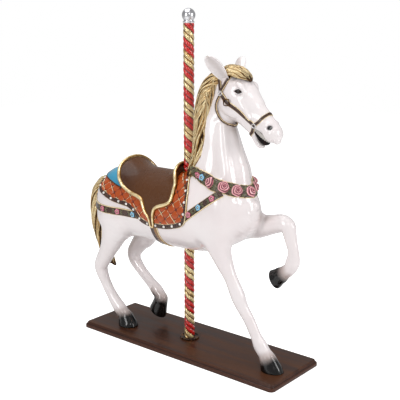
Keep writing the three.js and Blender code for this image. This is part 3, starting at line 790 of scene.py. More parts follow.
# The row of teeth on the near side, along the face and aside.
TEETH = [(238, -30), (262, -31.5), (290, -30), (315, -22), (330, -10), (334, 0)]
TOOTH = 9.5
# The neck's middle that the garland goes round, and how far across the band its rows of leaves lie.
GARLAND_X = 150
LEAF_ROWS = (-0.64, -0.38, -0.13, 0.13, 0.38, 0.64)
SPRAY = [(1.6, 0.3, 0.5), (1.7, -0.3, -0.5), (-1.6, 0.3, 2.6), (-1.7, -0.3, -2.6)]


def piece(obj, fill, slot, *nodes):
    """Gives a finished piece its material, sets it on the root body and hides the solids it stands for. slot
    is not used.
    """
    obj.data.materials.clear()
    obj.data.materials.append(finish(fill))
    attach(obj, "root")
    if nodes:
        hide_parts(*nodes)
    return obj


# A spacing that leaves one place on a band.
ALONE = 1e6


def near_line(u):
    """The quilt's edge on the near side, u from its back end to its front end: x, angle and the x it hangs
    from."""
    knots = smooth(QUILT_EDGE, 400)
    at = along(knots[:, :2] * [1, 2.7])
    return np.stack([np.interp(u, at / at[-1], column) for column in knots.T], axis=-1)


def make_quilt():
    """The quilted cloth. Rows fan from the back's top to the edge; diamonds puff by (|sin pi a| |sin pi
    b|)^0.3, where a and b count diamonds across the two families of seams."""
    rows, cols = ((200, 245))
    u = np.linspace(0, 1, rows)[:, None]
    side = np.linspace(-1, 1, cols)
    s = np.abs(side)
    edge_x, edge_angle, top_x = np.moveaxis(near_line(u), -1, 0)
    angle = edge_angle * s
    grid = on_torso(top_x + (edge_x - top_x) * s ** (1.5 - 0.9 * u), angle * np.sign(side))
    arc = np.radians(angle) * BARREL_RADIUS
    lean = grid[..., 0] + 0.15 * arc
    a, b = (lean + arc) / DIAMOND, (lean - arc) / DIAMOND
    puff = (np.abs(np.sin(np.pi * a)) * np.abs(np.sin(np.pi * b))) ** 0.3
    height = 3.5 + 5.5 * puff * np.clip((1 - s) * 260 / 14, 0.25, 1)
    return slab("quilt", grid, torso_normals(grid), height, 1.0, {"puff": puff, "seam_a": a, "seam_b": b})


def edge_band(width):
    """The band along the quilt's edge, on the near side and on the far side."""
    knots = near_line(np.linspace(0, 1, 150))[::3]
    return [band(on_torso(knots[:, 0], knots[:, 1] * s), width, "torso", step=4.0, lift=3.5) for s in (1, -1)]


def make_strap(name, b, height=3.0, cord=1.6, under=4.0):
    """A strap laid on a band: flat, with a raised cord along each side."""
    s = np.abs(b["side"])
    top = height * np.clip((1 - s) / 0.06, 0.35, 1) + cord * np.exp(-(((s - 0.86) / 0.10) ** 2))
    return slab(name, b["grid"], b["normals"], top, under, {"side": b["side"], "run": b["run"] * MM})


def places_on(b, spacing, start, across, lift):
    """Places, normals and headings at even spacing along a band."""
    n, m, _ = b["grid"].shape
    run = b["run"][:, 0]
    row = np.interp(np.arange(start, run[-1] - 2, spacing), run, np.arange(n))
    i = np.minimum(row.astype(int), n - 2)
    w = (row - i)[:, None]
    col = (across + 1) / 2 * (m - 1)
    j = min(int(col), m - 2)
    v = col - j
    pick = lambda g: (g[i, j] * (1 - w) + g[i + 1, j]
                      * w) * (1 - v) + (g[i, j + 1] * (1 - w) + g[i + 1, j + 1] * w) * v
    normals = unit(pick(b["normals"]))
    return pick(b["grid"]) + normals * lift, normals, unit(b["grid"][i + 1, j] - b["grid"][i, j])


def saddle_height(x, angle, rear):
    """Leather thickness, plus the cantle's rise at the back and the pommel's at the front."""
    a = np.abs(angle)
    cantle = 42.0 * np.clip(1 - np.abs(x - rear) / 125, 0, 1) ** 2 * np.clip(1 - (a / 54) ** 3, 0, 1)
    front = np.interp(a, *np.array(SADDLE_FRONT).T)
    pommel = 38.0 * np.clip(1 - np.abs(x - front) / 62, 0, 1) * np.clip(1 - (a / 34) ** 2, 0, 1)
    return 12.0 + cantle + pommel


def saddle_grid():
    """The saddle on the barrel: for each angle from the back's top, x runs from the rear edge to the front
    edge."""
    rows, cols = ((161, 71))
    angle = np.linspace(-SADDLE_REACH, SADDLE_REACH, rows)[:, None]
    rear, front = (np.interp(np.abs(angle), *smooth(knots, 200).T) for knots in (SADDLE_REAR, SADDLE_FRONT))
    x = rear + (front - rear) * np.linspace(0, 1, cols)
    grid = on_torso(x, angle, "barrel")
    return grid, torso_normals(grid), saddle_height(x, angle, rear), angle


def make_saddle():
    """The saddle's leather."""
    grid, normals, height, angle = saddle_grid()
    return slab("saddle", grid, normals, height, 2.0, {"angle": np.abs(angle) / SADDLE_REACH})


def make_saddle_rim(radius):
    """A rolled rim that follows the saddle's rear edge, its flap ends and its front edge, all the way round.
    It thins to 0.6 of the radius down the flaps."""
    grid, normals, height, _ = saddle_grid()
    edge_of = lambda g: np.concatenate([g[:, 0], g[-1, 1:-1], g[::-1, -1], g[0, -2:0:-1]])
    ring, up = edge_of(grid + normals * height[..., None]), edge_of(normals)
    run = along(np.vstack([ring, ring[:1]]))
    at = np.linspace(0, run[-1], 420, endpoint=False)
    wrap = lambda g: np.stack([np.interp(at, run, np.append(column, column[0])) for column in g.T], axis=1)
    line, up = wrap(ring), unit(wrap(up))
    for _ in range(5):
        line = (np.roll(line, 1, 0) + line * 2 + np.roll(line, -1, 0)) / 4
    way = unit(np.roll(line, -1, 0) - np.roll(line, 1, 0))
    side = unit(np.cross(up, way))
    up = np.cross(way, side)
    a = circle(18)
    r = radius * (1 - 0.4 * np.clip((700 - line[:, 2:]) / 90, 0, 1))
    rings = rings_round(line - up * 2.0, side * r, up * r, a)
    marks = {"run": np.repeat(at * MM, len(a)), "turn": np.tile(a / (2 * np.pi), len(at))}
    return outward(mesh_object("saddle_rim", rings, hoop_faces(len(at), len(a)), marks))


def make_patch():
    """The smooth patch behind the cantle, a half-round whose edge angle grows from its back to the saddle,
    and the piping round it."""
    x = np.linspace(-489, -340, 60)[:, None]
    s = np.linspace(-1, 1, 81)
    grid = on_torso(x, 54 * np.clip((x + 490) / 150, 0.001, 1) ** 0.2 * s)
    normals = torso_normals(grid)
    obj = slab("patch", grid, normals, PATCH_THICK + 1.5 * (1 - s**6), 0.0, {"side": s})
    top = grid + normals * PATCH_THICK
    rim = evenly(np.concatenate([top[::-1, 0], top[0, 1:-1], top[:, -1]]), 5.0)
    for _ in range(4):
        rim[1:-1] = (rim[:-2] + 2 * rim[1:-1] + rim[2:]) / 4
    piping = Pile()
    piping.add_tube(tube(rim, 2.6, 10), run=along(rim)[:, None] * MM)
    return obj, piping.done("patch_piping")


def head_point(s, h, y):
    """A place given along the face, above its axis, and to the left."""
    x, z = faced([s, h])
    return np.array([x[0], y, z[0]])


def touch_head(s, h, side):
    """The skin of the head beside the place s, h, and its normal."""
    start = head_point(s, h * 0.9, 0.0)
    aim = unit(head_point(s, h, side * 60.0) - start)
    p, n = settle(skin(start[None], aim[None], PARTS["skull"]), PARTS["skull"], 2)
    return p[0], n[0]


def looped(rows):
    """The near side's points carried on over the middle to the far side."""
    return rows + [(x, -y, z) for x, y, z in rows[-2::-1]]


def bridle_lines():
    """Each bridle strap's points on the head and its width."""
    on_face = lambda places, side: [touch_head(s, h, side)[0].tolist() for s, h in places]
    nose = [head_point(254, -80, 0).tolist(), *on_face(NOSE_SIDE, -1), head_point(256, 66, 0).tolist()]
    lines = {
        "crown": (looped(CROWN), 14.0), "browband": (looped(BROWBAND), 15.0), "throat": (looped(THROAT), 9.0),
        "noseband": (looped(nose), 16.0),
    }
    for tag, side in SIDES.items():
        lines["cheek_" + tag] = (on_face(CHEEK, side), 20.0)
    return lines


def rounded(a, power, squash=1.0):
    """Radius of an outline: (|cos a|^power + |sin a / squash|^power)^(-1 / power)."""
    return (np.abs(np.cos(a)) ** power + np.abs(np.sin(a) / squash) ** power) ** (-1 / power)


def ring_about(centre, normal, radius, thick, square=2.0):
    """A closed ring lying on the normal, which is square-cornered for a large value of square."""
    n = unit(normal)
    x = unit(np.cross([0.0, 0, 1], n))
    a = circle(40)
    r = (radius * rounded(a, square))[:, None]
    out = x * np.cos(a)[:, None] + np.cross(n, x) * np.sin(a)[:, None]
    rings = rings_round(centre + out * r, out * thick, n * thick, circle(12))
    return rings, hoop_faces(*rings.shape[:2])


def make_bridle_metal(radius):
    """Rings where the straps meet, and a buckle on each cheek strap."""
    rings, buckles = Pile(), Pile()
    for side in SIDES.values():
        for place in RINGS:
            p, n = touch_head(*place, side)
            rings.add(*ring_about(p + n * 4.0, n, radius, radius * 0.26))
        p, n = touch_head(*BUCKLE_AT, side)
        buckles.add(*ring_about(p + n * 6.4, n, 13.5, 2.4, square=5.0))
    return rings.done("bridle_rings"), buckles.done("bridle_buckles")


def ear_mesh(name, side):
    """A cupped ear: sections are open arcs, sin and cos of the place across, that widen and close again to a
    tip."""
    table = np.array(EAR, float)
    lean, wider = EAR_LEAN[side]
    table[:, :3] += np.linspace(0, 1, len(table))[:, None] * lean
    table *= [1, side, 1, 1, wider]
    spine, size = smooth(table[:, :3], 30), smooth(table[:, 3:], 30)
    way = unit(np.gradient(spine, axis=0))
    facing = np.array([0.35, side, -0.45])
    out = unit(facing - way * (way @ facing)[:, None])
    w = np.linspace(-1, 1, 25)
    a = np.radians(w * 88)[:, None]
    grid = spine[:, None] + (np.cross(way, out) * size[:, 1:])[:, None] * np.sin(a) \
        + (out * size[:, :1])[:, None] * (0.55 - np.cos(a)) * 1.15
    normals = grid_normals(grid)
    normals *= np.sign((normals * out[:, None]).sum(-1).mean())
    thick = 2.6 * np.clip((1 - np.abs(w)) * 5 + 0.35, 0, 1)
    return slab(name, grid, normals, thick, thick, {"inside": np.clip(1 - np.abs(w) * 1.05, 0, 1)})


def eye_template():
    """An almond button, domed by 0.34 (1 - v^2)."""
    return dome(8, 40, lambda a: rounded(a, 1.35, 0.52), lambda v, a: 0.02 + 0.34 * (1 - v**2), under=-0.5)


def make_eyes():
    """Two glossy almond eyes, each in a raised lid."""
    eyes, lids = Pile(), Pile()
    head = np.array([1.0, 0, -0.06])
    a = circle(48)[:, None]
    r = rounded(a, 1.35, 0.56) * 21.5
    for side in SIDES.values():
        p, n = touch_head(*EYE_AT, side)
        n = unit(n * [1, 1, 0.6])
        eyes.scatter(eye_template(), (p - n * 1.5)[None], n[None], head[None], 20.5)
        x = unit(head - n * (head @ n))
        ring = p + x * np.cos(a) * r + np.cross(n, x) * np.sin(a) * r + n * 0.6
        way = unit(np.roll(ring, -1, 0) - np.roll(ring, 1, 0))
        lids.add(rings_round(ring, unit(np.cross(way, n)) * 1.7, n * 2.04, circle(10)), hoop_faces(48, 10))
    return eyes.done("eyes"), lids.done("eyelids")


def make_mouth():
    """A dark lining between the lips, and a curved row of teeth whose fronts swell by |sin|^0.5 along the
    row."""
    lining = face_limb(MOUTH_LINING, samples=30)
    mouth = outward(mesh_object("mouth", *tube_mesh(limb_rings(lining, 20))))
    knots = looped([(s, y, 0) for s, y in TEETH])
    line = evenly(smooth(knots, 120), 1.2)
    way = unit(np.gradient(line, axis=0))
    out = np.stack([way[:, 1], -way[:, 0], 0 * way[:, 0]], axis=1)
    swell = np.abs(np.sin(np.pi * along(line) / TOOTH))[:, None] ** 0.5
    h = np.linspace(0, 1, 7)
    drop = -20 - 15 * h * (0.85 + 0.15 * swell)
    front = line[:, None] + out[:,
                                None] * (1.6 * swell * np.sin(np.pi * np.clip(h, 0.1, 0.9)) + 1.0)[..., None]
    x, z = faced(np.column_stack([front[..., 0].ravel(), drop.ravel()]))
    grid = np.stack([x, front[..., 1].ravel(), z], axis=1).reshape(front.shape)
    return mouth, slab("teeth", grid, grid_normals(grid) * 0.5, 1.0, 1.0, {"swell": swell})


# ---------------------------------------------------------------- hair pieces


def hair_core(line, samples, fill=0.8):
    """The core that locks are wound on, and a pile that holds its smooth filling."""
    core, pile = limb(line, samples=samples), Pile()
    middle = core["spine"][:, None]
    # The filling is marked as all groove, so it takes the deep tone: painted shade between the locks.
    pile.add_tube(middle + (limb_rings(core, 20) - middle) * fill, groove=1.0, strand=0.0, run=0.0)
    return core, pile


def add_locks(pile, core, count, seed, **kw):
    """Locks side by side round the core, each with its own length, breadth and sway. Keys given as pairs are
    drawn between their two values."""
    draw = np.random.default_rng(seed)
    for k in range(count):
        own = {key: (draw.uniform(*value) if isinstance(value, tuple) else value) for key,
               value in kw.items()}
        start = own.pop("first") + own.pop("stagger", 0.0) * k
        end = min(start + own.pop("length"), own.pop("limit", 1.0))
        angle = own.pop("angle") + own.pop("fan") * k
        rings, marks = wound_lock(core, start, end, angle, own.pop("turn"), own.pop("wide"), own.pop("thick"),
                                  **own)
        pile.add_tube(rings, **marks)


def make_tail():
    """Locks wound round a tapering core, with finer ones riding over them."""
    core, pile = hair_core(TAIL_LINE, 80)
    add_locks(pile, core, 15, 3, first=0.0, length=(0.86, 0.99), angle=10, fan=24, turn=-260,
              wide=(8.5, 10.5),
              thick=(8.5, 10.5), strands=4, steps=70, sides=24, ride=0.82, tip=0.62, flick=2.0)
    add_locks(pile, core, 16, 4, first=0.02, stagger=0.04, length=(0.3, 0.42), angle=0, fan=83, turn=-100,
              wide=(6.0, 9.0), thick=(6.0, 8.0), strands=4, steps=34, sides=18, ride=(0.84, 0.94), tip=0.4,
              flick=3.0)
    return pile.done("tail")


def make_mane():
    """Waving locks down the neck's near side, with finer ones over them that flick out along the front
    edge."""
    core, pile = hair_core(MANE_LINE, 100)
    add_locks(pile, core, 15, 5, first=0.0, length=(0.86, 0.98), angle=20, fan=24, turn=(-190, -150),
              wide=(9.0, 12.0), thick=(8.5, 10.5), strands=5, steps=80, sides=24, ride=0.82, tip=0.7,
              sway=14.0,
              waves=2.4)
    add_locks(pile, core, 17, 6, first=0.0, stagger=0.05, length=(0.24, 0.4), angle=250, fan=-7,
              turn=(-110, -60),
              wide=(8.0, 11.0), thick=(6.5, 8.5), strands=5, steps=36, sides=22, ride=(0.88, 0.98), tip=0.45,
              flick=(2.0, 7.0), sway=12.0, waves=1.3)
    add_locks(pile, core, 15, 7, first=0.02, stagger=0.055, length=(0.2, 0.3), angle=200, fan=3,
              turn=(50, 90),
              wide=(6.5, 8.5), thick=(5.5, 7.0), strands=4, steps=32, sides=18, ride=(0.92, 1.04), tip=0.4,
              flick=(5.0, 11.0), sway=8.0, waves=1.0)
    return pile.done("mane")


def make_forelock():
    """Locks swept forward over the brow and gathered to a point."""
    core, pile = hair_core(FORELOCK_LINE, 60)
    add_locks(pile, core, 14, 8, first=0.0, length=(0.86, 0.98), angle=140, fan=18, turn=(10, 30),
              wide=(8.5, 11.0),
              thick=(7.0, 9.0), strands=5, steps=50, sides=24, ride=0.88, tip=0.6, sway=6.0)
    add_locks(pile, core, 12, 9, first=0.02, stagger=0.035, length=(0.4, 0.55), angle=180, fan=14,
              turn=(20, 50),
              wide=(6.5, 9.0), thick=(5.0, 7.0), strands=4, steps=34, sides=18, ride=(0.9, 1.0), tip=0.4,
              flick=2.0)
    return pile.done("forelock")


# ---------------------------------------------------------------- pole, finial, flange and stand


def make_pole():
    """Rope-twist pole: radius valley + (lobe - valley) |sin 2 p|^0.75 at phase p = angle + 2 pi z / pitch -
    start."""
    z, a = np.meshgrid(np.arange(30.6, POLE["top"], 2.5), circle(96), indexing="ij")
    phase = a + 2 * np.pi * z / POLE["pitch"] - math.radians(242)
    lobe = np.abs(np.sin(2 * phase)) ** 0.75
    r = POLE["valley"] + (POLE["lobe"] - POLE["valley"]) * lobe
    points, faces = tube_mesh(np.stack([POLE_X + r * np.cos(a), r * np.sin(a), z], axis=-1))
    marks = {"red": np.cos(phase), "groove": 1 - lobe, "twist": np.mod(phase, 2 * np.pi) / (2 * np.pi),
             "height": z * MM}
    marks = {key: np.append(value, [0, 0]) for key, value in marks.items()}
    return outward(mesh_object("pole_rope", points, faces, marks))


def lathe(name, profile, hoop=False):
    """A profile of radius and height turned about the pole's axis, closed at its ends or, for a hoop, on
    itself."""
    r, z = np.array(profile, float).T[..., None]
    a = circle(96)
    rings = np.stack([POLE_X + r * np.cos(a), r * np.sin(a), z + 0 * a], axis=-1)
    shape = (rings, hoop_faces(*rings.shape[:2])) if hoop else tube_mesh(rings)
    return outward(mesh_object(name, *shape))


def make_finial():
    """A ball on a turned collar: the ball's profile is an arc, radius 30."""
    base = POLE["top"] + GAP
    centre = base + 7 + 30 * 0.86
    collar = [(0.5, 0), (25.5, 0), (26.5, 1), (26.5, 3.5), (25.2, 4.6), (23.5, 5.2), (22.4, 6.5)]
    arc = [(30 * math.cos(t), centre + 30 * math.sin(t)) for t in np.radians(np.arange(-43, 90, 3.5))]
    return lathe("finial_ball", [*((r, base + z) for r, z in collar), *arc, (0.3, centre + 30)])


def make_flange():
    """A shallow dish with a rolled rim round the pole's foot."""
    dish = [(25.6, 0), (44, 0), (46, 1.5), (46, 7), (44.8, 8.6), (42.6, 9), (40.8, 8), (39, 5.2), (33, 3.8),
            (28, 4.6),
            (25.6, 6)]
    return lathe("flange_dish", [(r, STAND["height"] + GAP + z) for r, z in dish], hoop=True)


def make_stand():
    """A rounded rectangle carried down a moulded profile: inset and height."""
    profile = [(3, 0), (0.6, 0.6), (0, 2), (0, 13), (0.8, 15.5), (2.6, 17.2), (5.2, 17.8), (6.4, 18.6),
               (6.6, 21),
               (7.4, 22.4), (9.0, 23.2), (10, 24.6), (10.6, 27), (11.6, 28.8), (13.4, 29.7), (15.6, 30)]
    inset, z = np.array(profile).T[..., None]
    c = np.maximum(STAND["corner"] - inset, 4)
    a = np.radians(np.add.outer([0, 90, 180, 270], np.linspace(0, 90, 13)).ravel())
    x_sign, y_sign = np.repeat([1, -1, -1, 1], 13), np.repeat([1, 1, -1, -1], 13)
    x = x_sign * (STAND["length"] / 2 - inset - c) + c * np.cos(a)
    y = y_sign * (STAND["width"] / 2 - inset - c) + c * np.sin(a)
    rings = np.stack([x, y, z + 0 * x], axis=-1)
    n, m, _ = rings.shape
    faces = grid_faces(n, m, around=True).tolist() + [list(range(m))[::-1], list(range((n - 1) * m, n * m))]
    return outward(mesh_object("stand_board", rings, faces))


# ---------------------------------------------------------------- harness and garland


def bead_template():
    """A long low bead: outline 0.95 by 0.45 of the unit, domed by 0.42 sqrt(1 - v^2)."""
    outline = lambda a: 1 / np.sqrt((np.cos(a) / 0.95) ** 2 + (np.sin(a) / 0.45) ** 2)
    return dome(3, 12, outline, lambda v, a: 0.42 * np.sqrt(np.maximum(1 - v**2, 0)), under=-0.3)


def torso_line(places, side=1):
    """Skin points of the torso at each x and angle from the back's top; a side of -1 mirrors them."""
    return [on_torso(x, a * side).tolist() for x, a in places]


def breeching_band(width):
    """The strap that runs from the saddle cloth round the rump and back."""
    rows = torso_line(BREECHING)
    return band(looped([*rows, (-616, 0, 640)]), width, "trappings")


def breast_band(side, width):
    """The strap from the cloth's front edge up to the garland."""
    return band(torso_line(BREAST, side), width, "trappings")


def girth_band(width):
    """The strap under the belly from flap to flap."""
    return band(torso_line([(-126, a) for a in np.linspace(104, 256, 24)]), width, "trappings", step=6.0)


def at_length(b, x, half):
    """The run at which a band's middle crosses x, on its first or second half, or anywhere for None."""
    line = b["line"][:, 0]
    rows = np.arange(len(line))
    chosen = rows if half is None else rows[(rows < len(rows) / 2) == (half == 0)]
    return b["run"][chosen[np.argmin(np.abs(line[chosen] - x))], 0]


def decorate(flowers, b, flowers_at, size):
    """Flowers at the lengths listed, with a spray of small leaves on each side of every flower."""
    halves = (0, 1) if b["line"][0, 1] * b["line"][-1, 1] < 0 else (None,)
    for half in halves:
        for x, kind in flowers_at:
            run = at_length(b, x, half)
            flowers[kind].scatter(flower_template(), *places_on(b, ALONE, run, 0.0, 3.6), size)
            for ahead, across, turn in SPRAY:
                at = run + ahead * size
                if 4 < at < b["run"][-1, 0] - 6:
                    spots, normals, heads = places_on(b, ALONE, at, across, 3.0)
                    heads = heads * math.cos(turn) + np.cross(normals, heads) * math.sin(turn)
                    flowers["leaf"].scatter(leaf_template(), spots, normals, heads, size * 0.74)


def garland_band(width):
    """The leafy band round the root of the neck, and the turn of each of its rows from the front."""
    turns = np.radians(np.linspace(-180, 180, 73))
    height = np.interp(np.abs(np.degrees(turns)), *np.array(GARLAND).T)
    start = np.stack([0 * turns + GARLAND_X, 0 * turns, height], axis=1)
    ray = np.stack([np.cos(turns), np.sin(turns), 0 * turns], axis=1)
    b = band(skin(start, ray, PARTS["trappings"]), width, "trappings", across=15)
    return b, np.degrees(np.arctan2(b["line"][:, 1], b["line"][:, 0] - GARLAND_X))


def on_garland(b, turn, t, lift):
    """One place, normal and heading on the garland's middle at the turn t."""
    i = int(np.argmin(np.abs(turn - t)))
    m = b["grid"].shape[1] // 2
    normal = b["normals"][i, m][None]
    return b["grid"][i, m][None] + normal * lift, normal, np.array([[0.3, 0.2, 1.0]])


def garland_leaves(b, size):
    """Leaves in staggered rows that point outwards from the garland's middle."""
    leaves = Pile()
    for k, across in enumerate(LEAF_ROWS):
        turn = (0.35 + 0.5 * (1 - abs(across))) * (1 if across > 0 else -1)
        spots, normals, heads = places_on(b, 25.0, 4.0 + 8.0 * k, across, 3.6)
        number = np.arange(len(spots))
        way = np.where(number % 2 == k % 2, 1.0, -1.0)[:, None]
        sway = np.sin(number * 2.4 + k)[:, None] * 0.4
        heads = heads * way + np.cross(normals, heads) * (math.sin(turn) + sway)
        leaves.scatter(leaf_template(), spots, normals, heads, size * (0.9 + 0.15 * np.cos(number * 1.7 + k)))
    return leaves.done("garland_leaves")


# ---------------------------------------------------------------- studio


CAMERA_PLACE = (2.3148, -2.7451, 1.5524)
CAMERA_DOWN = 13.107
CAMERA_TURN = 39.73
# Soft boxes: where each stands, and its width and height.
BOXES = {
    "left": ((-0.3, -3.2, 1.9), (0.7, 1.9)), "right": ((3.0, 0.6, 1.7), (0.7, 1.9)),
    "front": ((2.6, -2.0, 2.7), (0.6, 1.0)), "above": ((-0.4, -0.3, 3.2), (2.2, 1.6)),
}
BOXES_AIM = (0, 0, 0.75)
# Half the breadth of the floor, in mm.
FLOOR = 9000


def make_camera(lens):
    """The studio's camera, level and turned towards the horse."""
    data = bpy.data.cameras.new("studio_camera")
    data.sensor_width = 36.0
    data.lens = lens
    camera = bpy.data.objects.new("studio_camera", data)
    bpy.context.scene.collection.objects.link(camera)
    camera.location = CAMERA_PLACE
    camera.rotation_euler = (math.radians(90 - CAMERA_DOWN), 0, math.radians(CAMERA_TURN))
    bpy.context.scene.camera = camera


def make_sky(strength):
    """An even white sky: the strength given lights the object, and the view behind it is plain white."""
    world = bpy.data.worlds.new("studio")
    world.use_nodes = True
    n = Nodes(world.node_tree)
    back = world.node_tree.nodes["Background"]
    back.inputs["Color"].default_value = (1, 1, 1, 1)
    n.join(n.plus(n.times(n.seen(), 1.0 - strength), strength), back.inputs["Strength"])
    bpy.context.scene.world = world


def soft_box(name, place, size, power):
    """A rectangular lamp turned towards the horse's middle."""
    lamp = bpy.data.lights.new(name, "AREA")
    lamp.shape = "RECTANGLE"
    lamp.size, lamp.size_y = size
    lamp.energy = power
    obj = bpy.data.objects.new(name, lamp)
    bpy.context.scene.collection.objects.link(obj)
    obj.location = place
    obj.rotation_euler = (Vector(BOXES_AIM) - Vector(place)).to_track_quat("-Z", "Y").to_euler()


# ---------------------------------------------------------------- node helpers and shared effects


def tint(code):
    """Linear colour of a hex code."""
    v = np.array([int(code[i:i + 2], 16) for i in (1, 3, 5)]) / 255
    v = np.where(v <= 0.04045, v / 12.92, ((v + 0.055) / 1.055) ** 2.4)
    return (*v.tolist(), 1.0)


class Nodes:
    """Short calls that add nodes to one tree and join them."""

    def __init__(self, tree):
        self.tree = tree

    def add(self, kind, inputs=None, **settings):
        """A node with its settings, and its inputs joined or set."""
        node = self.tree.nodes.new(kind)
        for key, value in settings.items():
            setattr(node, key, value)
        for key, value in (inputs or {}).items():
            self.join(value, node.inputs[key])
        return node

    def join(self, value, socket):
        """Links a socket to the input given, or sets it to a plain value."""
        if isinstance(value, bpy.types.NodeSocket):
            self.tree.links.new(value, socket)
        else:
            socket.default_value = value

    def math(self, operation, a, b=0.0):
        return self.add("ShaderNodeMath", {0: a, 1: b}, operation=operation).outputs[0]

    def plus(self, a, b):
        return self.math("ADD", a, b)

    def minus(self, a, b):
        return self.math("SUBTRACT", a, b)

    def times(self, a, b):
        return self.math("MULTIPLY", a, b)

    def higher(self, a, b):
        return self.math("MAXIMUM", a, b)

    def apart(self, a, b):
        """How far a is from b."""
        return self.math("ABSOLUTE", self.minus(a, b))

    def mix(self, factor, a, b):
        return self.add("ShaderNodeMix", {0: factor, 6: a, 7: b}, data_type="RGBA").outputs[2]

    def layers(self, color, *coats):
        """Colours laid over the first one, each through its mask."""
        for mask, over in coats:
            color = self.mix(mask, color, over)
        return color

    def level(self, value, low, high, to_low=0.0, to_high=1.0):
        """A soft step of the value from low to high."""
        inputs = {0: value, 1: low, 2: high, 3: to_low, 4: to_high}
        return self.add("ShaderNodeMapRange", inputs, interpolation_type="SMOOTHSTEP").outputs[0]

    def place(self, scale=(1, 1, 1)):
        """Object coordinates, stretched."""
        at = self.add("ShaderNodeTexCoord").outputs["Object"]
        return self.add("ShaderNodeMapping", {"Vector": at, "Scale": scale}).outputs[0]

    def axis(self, number):
        """One of the object coordinates."""
        return self.add("ShaderNodeSeparateXYZ", {0: self.place()}).outputs[number]

    def noise(self, scale, detail=3.0, vector=None, roughness=0.5):
        inputs = {"Scale": scale, "Detail": detail, "Roughness": roughness, "Vector": vector or self.place()}
        return self.add("ShaderNodeTexNoise", inputs).outputs[0]

    def drawn(self, across, along):
        """Noise drawn out into streaks."""
        return self.add("ShaderNodeCombineXYZ", {0: across, 1: along, 2: 0.0}).outputs[0]

    def cell_edges(self, scale):
        inputs = {"Scale": scale, "Vector": self.place()}
        return self.add("ShaderNodeTexVoronoi", inputs, feature="DISTANCE_TO_EDGE").outputs["Distance"]

    def attribute(self, name):
        return self.add("ShaderNodeAttribute", attribute_name=name).outputs["Fac"]

    def bump(self, height, distance, strength=1.0):
        return self.add("ShaderNodeBump",
                        {"Strength": strength, "Distance": distance, "Height": height}).outputs[0]

    def seen(self):
        """1 where the camera looks straight at a thing."""
        return self.add("ShaderNodeLightPath").outputs["Is Camera Ray"]

    def put(self, group, *values):
        """A shared effect with its inputs in order."""
        node = self.add("ShaderNodeGroup", node_tree=group)
        for socket, value in zip(node.inputs, values):
            self.join(value, socket)
        return node.outputs


def effect(name, inputs, outputs, fill):
    """A shader node group, built on its first use. inputs gives each socket's default; the output named Color
    is a colour and the others are numbers."""
    group = bpy.data.node_groups.get(name)
    if group is None:
        group = bpy.data.node_groups.new(name, "ShaderNodeTree")
        for key, value in inputs.items():
            kind = "NodeSocketColor" if np.ndim(value) else "NodeSocketFloat"
            group.interface.new_socket(key, in_out="INPUT", socket_type=kind).default_value = value
        for key in outputs:
            kind = "NodeSocketColor" if key == "Color" else "NodeSocketFloat"
            group.interface.new_socket(key, in_out="OUTPUT", socket_type=kind)
        n = Nodes(group)
        start, end = n.add("NodeGroupInput"), n.add("NodeGroupOutput")
        for key, value in fill(n, start.outputs).items():
            n.join(value, end.inputs[key])
    return group


def glazed(n, groove, tones, patches, gloss):
    """Painter's glaze with painted light: the deep colour gathers in grooves as glaze and painted shade, the
    light one on crests as a painted highlight, with soft patches between. tones are the light, middle and
    deep colours; patches their scale and strength; gloss the roughness on crests and in grooves."""
    def fill(n, at):
        depth = n.plus(at["Groove"], n.times(n.minus(n.noise(at["Patch Scale"], 4.0), 0.5), at["Patchiness"]))
        color = n.layers(at["Light"], (n.level(depth, 0.0, 0.42), at["Middle"]),
                         (n.level(depth, 0.38, 0.86), at["Deep"]))
        return {"Color": color, "Roughness": n.level(depth, 0.1, 0.9, at["Polish"], at["Dullness"])}

    inputs = {"Groove": 0.0, "Light": (1, 1, 1, 1), "Middle": (1, 1, 1, 1), "Deep": (0, 0, 0, 1),
              "Patch Scale": 60.0,
              "Patchiness": 0.5, "Polish": 0.2, "Dullness": 0.5}
    return n.put(effect("painters_glaze", inputs, ("Color", "Roughness"), fill), groove, *tones, *patches,
                 *gloss)


def brushed_coat(n, wave, peel):
    """Brushed gloss paint: broad waves, fine orange peel and a slow change of tone."""
    def fill(n, at):
        height = n.plus(n.noise(at["Wave Scale"], 2.0), n.times(n.noise(at["Peel Scale"], 2.0), 0.08))
        return {"Height": height, "Tone": n.level(n.noise(n.times(at["Wave Scale"], 0.4), 3.0), 0.3, 0.7)}

    return n.put(effect("brushed_coat", {"Wave Scale": 16.0, "Peel Scale": 240.0}, ("Height", "Tone"), fill),
                 wave, peel)


def hide_grain(n, scale):
    """Hide: small cells, creases that wander, and scuffed patches."""
    def fill(n, at):
        crease = n.noise(n.times(at["Scale"], 0.12), 5.0, roughness=0.65)
        scuff = n.noise(n.times(at["Scale"], 0.05), 6.0, roughness=0.7)
        height = n.plus(n.level(n.cell_edges(at["Scale"]), 0.0, 0.16), n.times(crease, 1.6))
        return {"Height": height, "Scuff": n.level(scuff, 0.46, 0.72)}

    return n.put(effect("hide_grain", {"Scale": 700.0}, ("Height", "Scuff"), fill), scale)


def worn_edge(n, edge, scale, start):
    """A mask of small chips where a 0 to 1 edge mask is high."""
    def fill(n, at):
        chip = n.plus(n.noise(at["Scale"], 6.0, roughness=0.7), n.times(at["Edge"], 0.22))
        return {"Mask": n.level(chip, at["Start"], n.plus(at["Start"], 0.06))}

    group = effect("worn_edge", {"Edge": 0.0, "Scale": 130.0, "Start": 0.74}, ("Mask",), fill)
    return n.put(group, edge, scale, start)["Mask"]


# ---------------------------------------------------------------- finishes


def tones(look, name):
    """The light, middle and deep colours of one paint; the light one goes on crests as painted highlight, the
    deep one in grooves as glaze and painted shade.
    """
    return getattr(look, name + "_light"), getattr(look, name), getattr(look, name + "_deep")


